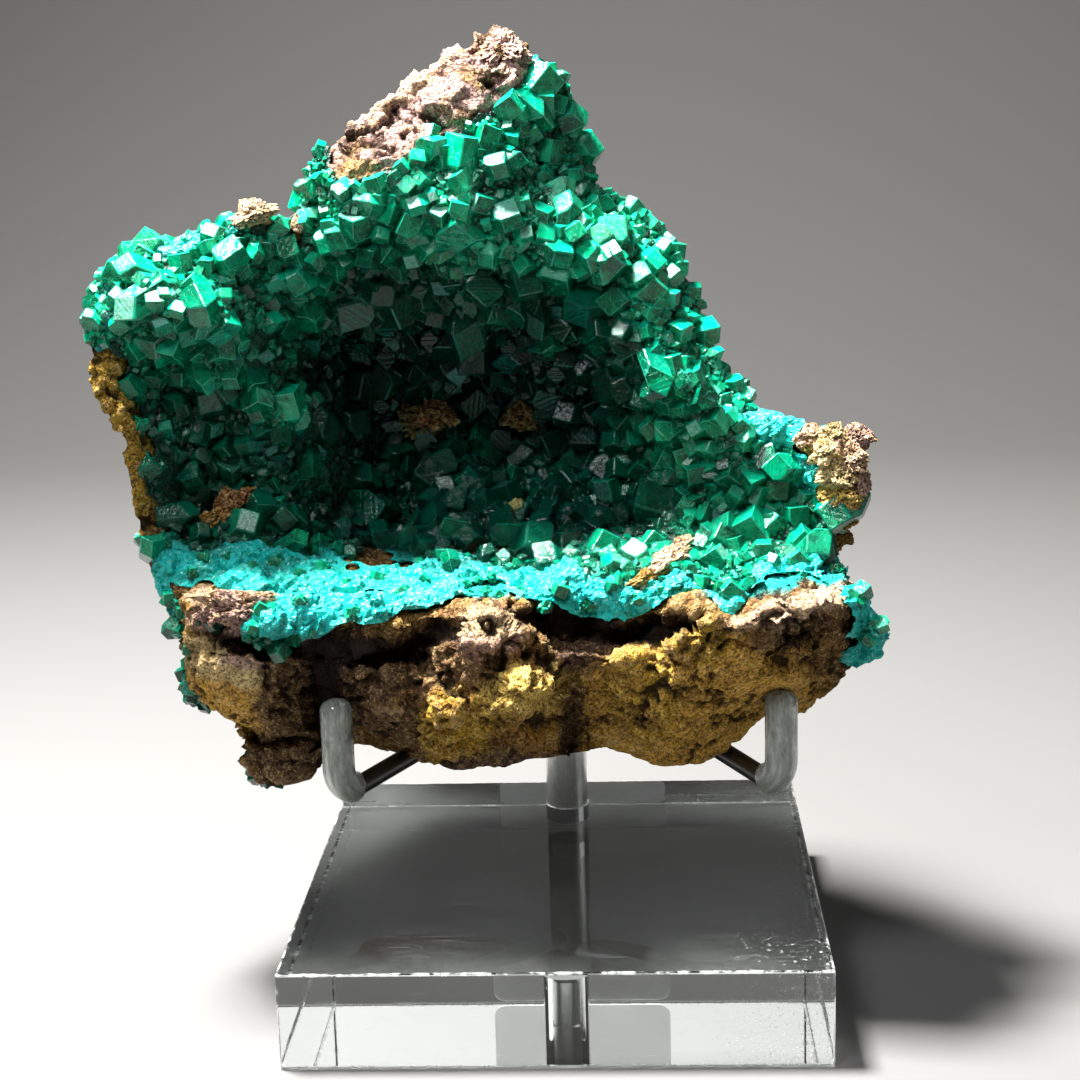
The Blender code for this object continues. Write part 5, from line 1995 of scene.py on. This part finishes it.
    def _place(self, carrier: BVHTree, rock: BVHTree, points: np.ndarray) -> tuple[bpy.types.Object, np.ndarray]:
        """Stand the crystals that the photograph shows one by one.

        Args:
            carrier: The druse's body.
            rock: The rock, for crystals beside the druse.
            points: The body's points.

        Returns:
            The crystals, and how free of them each point of the body is.
        """
        shapes = {
            (tall, whitened, number): crystal_mesh(
                f"placed_{number}", 1.25 * tall, 1.0, 0.045, 0 if whitened else None, 0.04 + 0.03 * number
            )
            for tall in sorted({item.length for item in self.placed})
            for whitened in (False, True)
            for number in range(4)
        }
        chance = np.random.default_rng(41)
        heap = CrystalHeap()
        free = np.ones(len(points))
        right, up, near = Vector(VIEW.right), Vector(VIEW.up), -Vector(VIEW.ahead)
        for item in self.placed:
            eye, way = VIEW.ray(item.across, item.down)
            spot, normal, distance = first_hit((carrier, rock), eye, way)
            radius = item.radius * distance / VIEW.focal
            aim = (right * item.axis[0] + up * item.axis[1] + near * item.axis[2]).normalized()
            axis = (aim * 0.8 + normal * 0.5).normalized()
            if item.gleam.value is not None:
                axis = self._mirror(spot, axis, item.lamp(), eye)
            side = axis.orthogonal().normalized()
            other = axis.cross(side)
            reach = np.linalg.norm(points - np.array(spot), axis=1) / radius
            free *= np.clip((reach - 0.55) / 0.3, 0.0, 1.0)
            for index in range(item.count):
                spread = 0.0 if index == 0 else 0.45 + 0.30 * index / item.count
                angle = 2.39996 * index + chance.uniform(0.0, 0.6)
                slide = (side * math.cos(angle) + other * math.sin(angle)) * spread * radius
                own = radius * (1.0 if item.count == 1 else 0.84)
                if index:
                    own = radius * chance.uniform(0.30, 0.62)
                lean = Vector(chance.normal(0.0, 0.18 if index else 0.0, 3))
                along = (axis + slide / radius * 0.55 + lean).normalized()
                rise = (-0.22 - 0.15 * spread) * radius
                foot = spot + slide + normal * rise
                spin = self._spin(item, along, spot, eye, chance)
                place = Matrix.Translation(foot) @ (along.to_track_quat("Z", "X") @ spin).to_matrix().to_4x4()
                # The tip face that mirrors the key lamp is also whitened, as a painted glare.
                whitened = item.frost_and_glare_face or (item.gleam is Gleam.KEY and index == 0)
                heap.add(
                    shapes[item.length, whitened, int(chance.integers(4))],
                    place @ Matrix.Scale(own, 4),
                    min(max(item.tone + chance.normal(0.0, 0.05), 0.0), 1.0),
                    chance.uniform(0.0, 1.0),
                    1.0 if item.frost_and_glare_face else 0.7,
                )
        return heap.build("crystals_placed"), free

    @staticmethod
    def _mirror(spot: Vector, axis: Vector, lamp: Vector, eye: Vector) -> Vector:
        """Return the axis whose tip face mirrors a lamp to the camera."""
        face = ((lamp - spot).normalized() + (eye - spot).normalized()).normalized()
        lean = (axis - face * axis.dot(face)).normalized()
        tilt = math.atan(TIP_SLOPE)
        return (face * math.cos(tilt) + lean * math.sin(tilt)).normalized()

    @staticmethod
    def _spin(item: Placed, axis: Vector, spot: Vector, eye: Vector, chance: np.random.Generator) -> Quaternion:
        """Return the turn about the axis, with a tip face to the lamp where one gleams."""
        if item.gleam.value is None:
            return Quaternion((0.0, 0.0, 1.0), chance.uniform(0.0, 2.0 * math.pi))
        face = ((item.lamp() - spot).normalized() + (eye - spot).normalized()).normalized()
        own = axis.to_track_quat("Z", "X").inverted() @ face
        return Quaternion((0.0, 0.0, 1.0), math.atan2(own.y, own.x))

    def _habit(self, points: np.ndarray) -> tuple[np.ndarray, np.ndarray, np.ndarray]:
        """Return the crystals' size, tone and crust at each point."""
        pixels = ragged(points)
        size = np.full(len(points), 2.8)
        tone = np.full(len(points), 0.25)
        crusted = np.zeros(len(points))
        for habit in self.habits:
            share = habit.spot.weight(pixels)
            size = size * (1.0 - share) + habit.size * share
            tone = tone * (1.0 - share) + habit.tone * share
            crusted = crusted * (1.0 - share) + habit.crust * share
        return size, tone, crusted


@dataclass
class EdgeGroup:
    """A small group of crystals apart from the druse."""

    node: str
    name: str
    seed: int

    def build(
        self, node: bpy.types.Object, crust: bpy.types.Material, crystal: bpy.types.Material
    ) -> list[bpy.types.Object]:
        """Build the group.

        Args:
            node: The CAD node.
            crust: The finish of the skin under the crystals.
            crystal: The crystals' finish.

        Returns:
            The skin and the crystals.
        """
        body = merged_copy(node, self.name + "_foot")
        points = points_of(body.data)
        middle = points.mean(axis=0)
        move_points(body.data, middle + (points - middle) * 0.86)
        ones = np.ones(len(points))
        for key, value in (("where", 1.0), ("tone", 0.3), ("crust", 0.1), ("shade", 0.5), ("hollow", 0.5)):
            paint(body.data, key, ones * value)
        piece = grown(
            body,
            self.name,
            scatter_recipe(),
            {
                "Crystals": crystal_set(self.name, (crystal_mesh("nub", 1.2, 0.9, 0.06, None, 0.1), crystal_mesh("knot", 1.0, 0.9, 0.06, 0, 0.1))),
                "Where": "where",
                "Spacing": 2.0 * MM,
                "Density": 3.0 / (2.0 * MM) ** 2,
                "Smallest": 1.3 * MM,
                "Largest": 2.6 * MM,
                "Tilt": 0.6,
                "Sink": 0.6 * MM,
                "Seed": self.seed,
                "Material": crystal,
            },
        )
        hand_over(dress(body, crust, False), "dioptase", self.node)
        hand_over(dress(piece, crystal, False), "dioptase", self.node)
        return [body, piece]


@dataclass
class RockChips:
    """Bits of bare rock that stand out of the druse."""

    chips: tuple[tuple[float, float, float, float, float, RockTone], ...] = (
        (664, 562, 30, 11, -38, RockTone.PEACH),
        (652, 574, 22, 8, -20, RockTone.OCHRE),
        (680, 545, 13, 8, -40, RockTone.PEACH),
        (232, 505, 26, 17, -30, RockTone.RUST),
        (215, 520, 18, 11, -10, RockTone.OCHRE),
        (425, 415, 30, 22, 0, RockTone.RUST),
        (520, 410, 18, 18, 0, RockTone.RUST),
        (578, 416, 13, 12, 0, RockTone.RUST),
        (252, 212, 20, 15, -20, RockTone.PEACH),
        (297, 222, 5, 9, 0, RockTone.PEACH),
        (501, 51, 24, 23, -10, RockTone.ROSE),
        (812, 436, 15, 12, 0, RockTone.PEACH),
        (834, 434, 14, 12, 20, RockTone.SAND),
        (856, 436, 16, 13, -10, RockTone.PINK),
        (828, 452, 16, 14, 0, RockTone.SAND),
        (852, 456, 16, 16, 0, RockTone.PEACH),
        (836, 474, 17, 15, 10, RockTone.SAND),
        (858, 478, 12, 17, 0, RockTone.PINK),
        (843, 494, 17, 16, 0, RockTone.YELLOW),
        (856, 508, 14, 14, -20, RockTone.OCHRE),
        (846, 518, 11, 9, 0, RockTone.OCHRE),
        (234, 600, 40, 9, 180, RockTone.PEACH),
        (240, 611, 31, 18, 183, RockTone.PINK),
    )

    def build(self, carriers: Sequence[BVHTree], material: bpy.types.Material) -> bpy.types.Object:
        """Build the chips on the stone.

        Args:
            carriers: The solids that they may stand on.
            material: The rock's finish.

        Returns:
            The chips as one piece.
        """
        shape = bmesh.new()
        colours = []
        hollows = []
        right, up, near = Vector(VIEW.right), Vector(VIEW.up), -Vector(VIEW.ahead)
        for index, (across, down, wide, tall, turn, tone) in enumerate(self.chips):
            eye, way = VIEW.ray(across, down)
            spot, _, distance = first_hit(carriers, eye, way)
            scale = distance / VIEW.focal
            angle = math.radians(-turn)
            long_way = right * math.cos(angle) + up * math.sin(angle)
            short_way = up * math.cos(angle) - right * math.sin(angle)
            made = bmesh.ops.create_icosphere(shape, subdivisions=5, radius=1.0)["verts"]
            for vertex in made:
                way_out = vertex.co.copy()
                place = way_out * 1.6 + Vector((index * 5.0, 0.0, 0.0))
                block = noise.cell(way_out * 2.4 + Vector((index * 3.1, 0.0, 0.0)))
                bulk = 1.0 + 0.42 * noise.noise(place) + 0.10 * (block - 0.5)
                fine = noise.noise(place * 6.5) * 0.5 + noise.noise(place * 14.0) * 0.35 + noise.noise(place * 3.0) * 0.5
                body = way_out * (bulk + fine * 0.26)
                narrow = 1.0 - 0.38 * body.z
                vertex.co = (
                    spot
                    + long_way * body.x * wide * scale * narrow
                    + short_way * body.z * tall * scale
                    + near * (body.y * narrow * 0.75 - 0.15) * min(wide, tall) * scale
                )
                colours.append(tone.value)
                hollows.append(0.5 + fine * 0.9)
        mesh = bpy.data.meshes.new("rock_chips")
        shape.to_mesh(mesh)
        shape.free()
        paint(mesh, "tone", np.array(colours))
        paint(mesh, "hollow", np.array(hollows))
        piece = dress(link("rock_chips", mesh), material, False)
        return hand_over(piece, "gossan")


@dataclass
class Strays:
    """The golden bead and the thin fibre that lie in the vug."""

    bead: tuple[float, float, float] = (517.0, 507.0, 8.5)
    fibre: tuple[tuple[float, float], ...] = ((506, 517), (522, 518), (545, 521), (566, 525), (572, 522), (584, 514))
    fibre_radius: float = 0.09 * MM

    def build(self, carrier: BVHTree, gold: bpy.types.Material, thread: bpy.types.Material) -> list[bpy.types.Object]:
        """Build the bead and the fibre.

        Args:
            carrier: The solid that they lie on.
            gold: The bead's finish.
            thread: The fibre's finish.

        Returns:
            The two pieces.
        """
        eye, way = VIEW.ray(self.bead[0], self.bead[1])
        spot, _, _, distance = carrier.ray_cast(eye, way)
        radius = self.bead[2] * distance / VIEW.focal
        shape = bmesh.new()
        bmesh.ops.create_icosphere(shape, subdivisions=4, radius=1.0)
        for vertex in shape.verts:
            bulk = 1.0 + 0.22 * noise.noise(vertex.co * 2.2) + 0.08 * noise.noise(vertex.co * 6.0)
            vertex.co = spot - way * radius * 1.2 + vertex.co * bulk * radius
        mesh = bpy.data.meshes.new("golden_bead")
        shape.to_mesh(mesh)
        shape.free()
        bead = hand_over(dress(link("golden_bead", mesh), gold, False), "gossan")
        line = []
        for across, down in self.fibre:
            eye, way = VIEW.ray(across, down)
            line.append(eye + way * (distance - 4.0 * MM))
        strand = pipe("fibre", line, [self.fibre_radius] * len(line), 8)
        fibre = hand_over(dress(link("fibre", strand), thread, True), "gossan")
        return [bead, fibre]


# Stand


@dataclass
class Block:
    """The clear acrylic block with the post's blind hole."""

    width: float = 110.0 * MM
    depth: float = 110.0 * MM
    height: float = 20.0 * MM
    edge: float = 0.45 * MM
    hole_radius: float = 5.2 * MM
    hole_y: float = 40.6 * MM
    hole_foot: float = 8.5 * MM

    def build(self, material: bpy.types.Material) -> bpy.types.Object:
        """Build the block."""
        shape = bmesh.new()
        bmesh.ops.create_cube(shape, size=1.0)
        bmesh.ops.scale(shape, vec=(self.width, self.depth, self.height), verts=shape.verts)
        bmesh.ops.translate(shape, vec=(0.0, 0.0, self.height / 2.0), verts=shape.verts)
        bmesh.ops.bevel(shape, geom=shape.edges[:], offset=self.edge, segments=3, profile=0.5, affect="EDGES")
        mesh = bpy.data.meshes.new("block")
        shape.to_mesh(mesh)
        shape.free()
        piece = link("block", mesh)
        profile = [(0.0, self.hole_foot), (self.hole_radius, self.hole_foot), (self.hole_radius, self.height * 1.2), (0.0, self.height * 1.2)]
        bore = link("bore", lathe("bore", profile, Vector((0.0, self.hole_y, 0.0)), 96))
        cut = piece.modifiers.new("Hole", "BOOLEAN")
        cut.operation = "DIFFERENCE"
        cut.solver = "EXACT"
        cut.object = bore
        plain(piece)
        bpy.data.objects.remove(bore)
        dress(piece, material, False)
        return hand_over(piece, "clear_acrylic", "acrylic_block")


@dataclass
class Label:
    """The blank label, in touch with the block's back face."""

    width: float = 41.0 * MM
    height: float = 18.8 * MM
    thickness: float = 0.3 * MM
    corner: float = 2.6 * MM
    centre_x: float = 3.2 * MM
    foot: float = 0.6 * MM
    face_y: float = 54.98 * MM

    def build(self, material: bpy.types.Material) -> bpy.types.Object:
        """Build the label."""
        shape = bmesh.new()
        bmesh.ops.create_cube(shape, size=1.0)
        bmesh.ops.scale(shape, vec=(self.width, self.thickness, self.height), verts=shape.verts)
        place = (self.centre_x, self.face_y + self.thickness / 2.0, self.foot + self.height / 2.0)
        bmesh.ops.translate(shape, vec=place, verts=shape.verts)
        corners = [edge for edge in shape.edges if abs(edge.verts[0].co.y - edge.verts[1].co.y) > self.thickness / 2.0]
        bmesh.ops.bevel(shape, geom=corners, offset=self.corner, segments=8, profile=0.5, affect="EDGES")
        mesh = bpy.data.meshes.new("label")
        shape.to_mesh(mesh)
        shape.free()
        piece = link("label", mesh)
        dress(piece, material, False)
        return hand_over(piece, "label_paper", "blank_label")


@dataclass
class Post:
    """The steel post."""

    radius: float = 4.9 * MM
    y: float = 40.6 * MM
    foot: float = 8.8 * MM
    top: float = 60.8 * MM
    chamfer: float = 0.6 * MM
    sides: int = 96

    def build(self, material: bpy.types.Material) -> bpy.types.Object:
        """Build the post."""
        inner = self.radius - self.chamfer
        profile = [(0.0, self.foot), (inner, self.foot), (self.radius, self.foot + self.chamfer)]
        profile += [(self.radius, self.top - self.chamfer), (inner, self.top), (0.0, self.top)]
        piece = link("steel_post", lathe("steel_post", profile, Vector((0.0, self.y, 0.0)), self.sides))
        dress(piece, material, True)
        piece.data.set_sharp_from_angle(angle=math.radians(30.0))
        return hand_over(piece, "brushed_steel", "post")


@dataclass
class Arm:
    """One steel arm and the plastic sleeve on its upturned end."""

    side: str
    tip: tuple[float, float]
    bend_height: float
    post_height: float
    top: float
    post_y: float = 40.6 * MM
    start: float = 3.6 * MM
    bend: float = 5.5 * MM
    rod: float = 2.1 * MM
    sleeve: float = 3.4 * MM
    bore: float = 2.35 * MM
    crown: float = 2.6 * MM
    skip: int = 4
    steps: int = 14
    sides: int = 48

    def _path(self) -> list[Vector]:
        """Return the rod's centre line, from the post to the tip."""
        foot = Vector((self.tip[0], self.tip[1], self.bend_height))
        root = Vector((0.0, self.post_y, self.post_height))
        along = (root - foot).normalized()
        upward = Vector((0.0, 0.0, 1.0))
        turn = along.angle(upward)
        reach = self.bend / math.tan(turn / 2.0)
        centre = foot + (along + upward).normalized() * (self.bend / math.sin(turn / 2.0))
        first = (foot + along * reach - centre).normalized()
        last = (foot + upward * reach - centre).normalized()
        sweep = first.angle(last)
        line = [root - along * self.start]
        for step in range(self.steps + 1):
            share = step / self.steps
            blend = first * math.sin((1.0 - share) * sweep) + last * math.sin(share * sweep)
            line.append(centre + blend / math.sin(sweep) * self.bend)
        return line

    def build(self, steel: bpy.types.Material, plastic: bpy.types.Material) -> list[bpy.types.Object]:
        """Build the rod and its sleeve.

        Args:
            steel: The rod's finish.
            plastic: The sleeve's finish.

        Returns:
            The rod and the sleeve.
        """
        line = self._path()
        end = Vector((self.tip[0], self.tip[1], self.top - self.crown - 0.6 * MM))
        path = line + [end]
        rod = link(f"steel_arm_{self.side}", pipe(f"steel_arm_{self.side}", path, [self.rod] * len(path), self.sides))
        dress(rod, steel, True)
        rod.data.set_sharp_from_angle(angle=math.radians(40.0))
        hand_over(rod, "brushed_steel", f"arm_{self.side}")

        line = line[self.skip :]
        along = (line[0] - line[1]).normalized()
        tail = line[0] + along * 0.3 * MM
        outer = [tail] + line
        radii = [self.sleeve - 0.3 * MM] + [self.sleeve] * (len(outer) - 1)
        for step in range(1, 13):
            angle = math.pi / 2.0 * step / 12.0
            height = self.top - self.crown * (1.0 - math.sin(angle))
            outer.append(Vector((self.tip[0], self.tip[1], height)))
            radii.append(max(self.sleeve * math.cos(angle) ** 0.8, 0.0))
        inner = list(reversed([tail] + line + [end]))
        bores = [0.0] + [self.bore] * len(inner)
        inner = [end + Vector((0.0, 0.0, 0.2 * MM))] + inner
        shape_path = list(reversed(outer)) + list(reversed(inner))
        shape_radii = list(reversed(radii)) + list(reversed(bores))
        ways = self._ways(shape_path, len(outer))
        sleeve = link(f"sleeve_tube_{self.side}", pipe(f"sleeve_tube_{self.side}", shape_path, shape_radii, self.sides, ways))
        dress(sleeve, plastic, True)
        sleeve.data.set_sharp_from_angle(angle=math.radians(50.0))
        hand_over(sleeve, "sleeve_plastic", f"sleeve_{self.side}")
        return [rod, sleeve]

    @staticmethod
    def _ways(path: Sequence[Vector], outer: int) -> list[Vector]:
        """Return the ring directions, all pointing down the outer wall's path."""
        ways = []
        for index in range(outer):
            ahead = path[min(index + 1, outer - 1)] - path[max(index - 1, 0)]
            ways.append(ahead.normalized())
        count = len(path)
        for index in range(outer, count):
            back = path[max(index - 1, outer)] - path[min(index + 1, count - 1)]
            ways.append(back.normalized())
        return ways


# Studio


@dataclass
class Studio:
    """A pale floor with a raised back and soft lights."""

    floor_drop: float = 0.4 * MM
    reach: float = 9.0
    wall: float = 1.1
    bend: float = 0.5

    def build(self) -> None:
        """Build the floor and the lights."""
        profile = [(-self.reach, 0.0), (self.wall - self.bend, 0.0)]
        for step in range(1, 17):
            angle = math.pi / 2.0 * step / 16.0
            profile.append((self.wall - self.bend + self.bend * math.sin(angle), self.bend * (1.0 - math.cos(angle))))
        profile.append((self.wall, 2.4))
        shape = bmesh.new()
        rows = []
        for along, height in profile:
            rows.append([shape.verts.new((side, along, height - self.floor_drop)) for side in (-self.reach, self.reach)])
        for low, high in zip(rows, rows[1:]):
            shape.faces.new((low[0], low[1], high[1], high[0]))
        mesh = bpy.data.meshes.new("studio_floor")
        shape.to_mesh(mesh)
        shape.free()
        floor = link("studio_floor", mesh)
        dress(floor, PlainFinish("studio_floor", (0.125, 0.125, 0.123)).build(), True)
        self._light("key", KEY_PLACE, 0.14, 37.0, (1.0, 0.98, 0.95))
        self._light("front", FRONT_PLACE, 0.24, 3.8, (0.97, 0.98, 1.0))
        self._light("side", (0.8, -0.1, 0.5), 0.5, 0.9, (1.0, 1.0, 1.0))
        world = bpy.data.worlds.new("studio")
        world.use_nodes = True
        world.node_tree.nodes["Background"].inputs[0].default_value = (0.8, 0.84, 0.88, 1.0)
        world.node_tree.nodes["Background"].inputs[1].default_value = 0.065
        bpy.context.scene.world = world
        bpy.context.scene.view_settings.view_transform = "Standard"
        paths = bpy.context.scene.cycles
        paths.max_bounces = 7
        paths.diffuse_bounces = 2
        paths.glossy_bounces = 3
        paths.transmission_bounces = 7

    @staticmethod
    def _light(name: str, place: tuple[float, float, float], size: float, power: float, colour: Colour) -> None:
        """Add a square light that faces the specimen."""
        lamp = bpy.data.lights.new(name, "AREA")
        lamp.shape = "SQUARE"
        lamp.size = size
        lamp.energy = power
        lamp.color = colour
        made = bpy.data.objects.new(name, lamp)
        bpy.context.scene.collection.objects.link(made)
        aim = Vector((0.0, 0.0, 0.1)) - Vector(place)
        made.matrix_world = Matrix.Translation(place) @ aim.to_track_quat("-Z", "Y").to_matrix().to_4x4()


def main() -> None:
    """Build every piece on the frame."""
    logging.basicConfig(level=logging.INFO, format="%(message)s")
    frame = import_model()
    nodes = frame["nodes"]
    VIEW.build()
    Studio().build()
    crust = CrustFinish().build()
    crystal = CrystalFinish().build()
    rock_copy = merged_copy(nodes["gossan_rock"], "rock_copy")
    rock_tree = tree_of(rock_copy.data)
    bpy.data.objects.remove(rock_copy)
    druse_copy = merged_copy(nodes["dioptase_druse"], "druse_copy")
    druse_tree = tree_of(druse_copy.data)
    bpy.data.objects.remove(druse_copy)
    gossan = GossanFinish().build()
    Rock().build(nodes["gossan_rock"], druse_tree, gossan)
    Druse().build(nodes["dioptase_druse"], rock_tree, crust, crystal)
    RockChips().build((druse_tree, rock_tree), gossan)
    Strays().build(druse_tree, BeadFinish().build(), PlainFinish("fibre", (0.75, 0.68, 0.55)).build())
    for name, seed in (("crystals_left_edge", 5), ("crystals_low_edge", 6)):
        EdgeGroup(name, name + "_group", seed).build(nodes[name], crust, crystal)
    Block().build(AcrylicFinish().build())
    Label().build(LabelFinish().build())
    post_steel = SteelFinish("brushed_steel", (0.90, 0.90, 0.87), 0.30).build()
    rod_steel = SteelFinish("dark_steel", (0.16, 0.16, 0.155), 0.32).build()
    plastic = SleeveFinish().build()
    Post().build(post_steel)
    Arm("left", (-45.2 * MM, -22.0 * MM), 45.0 * MM, 54.3 * MM, 66.3 * MM).build(rod_steel, plastic)
    Arm("right", (46.9 * MM, -22.0 * MM), 45.6 * MM, 57.8 * MM, 66.9 * MM).build(rod_steel, plastic)


if __name__ == "__main__":
    main()
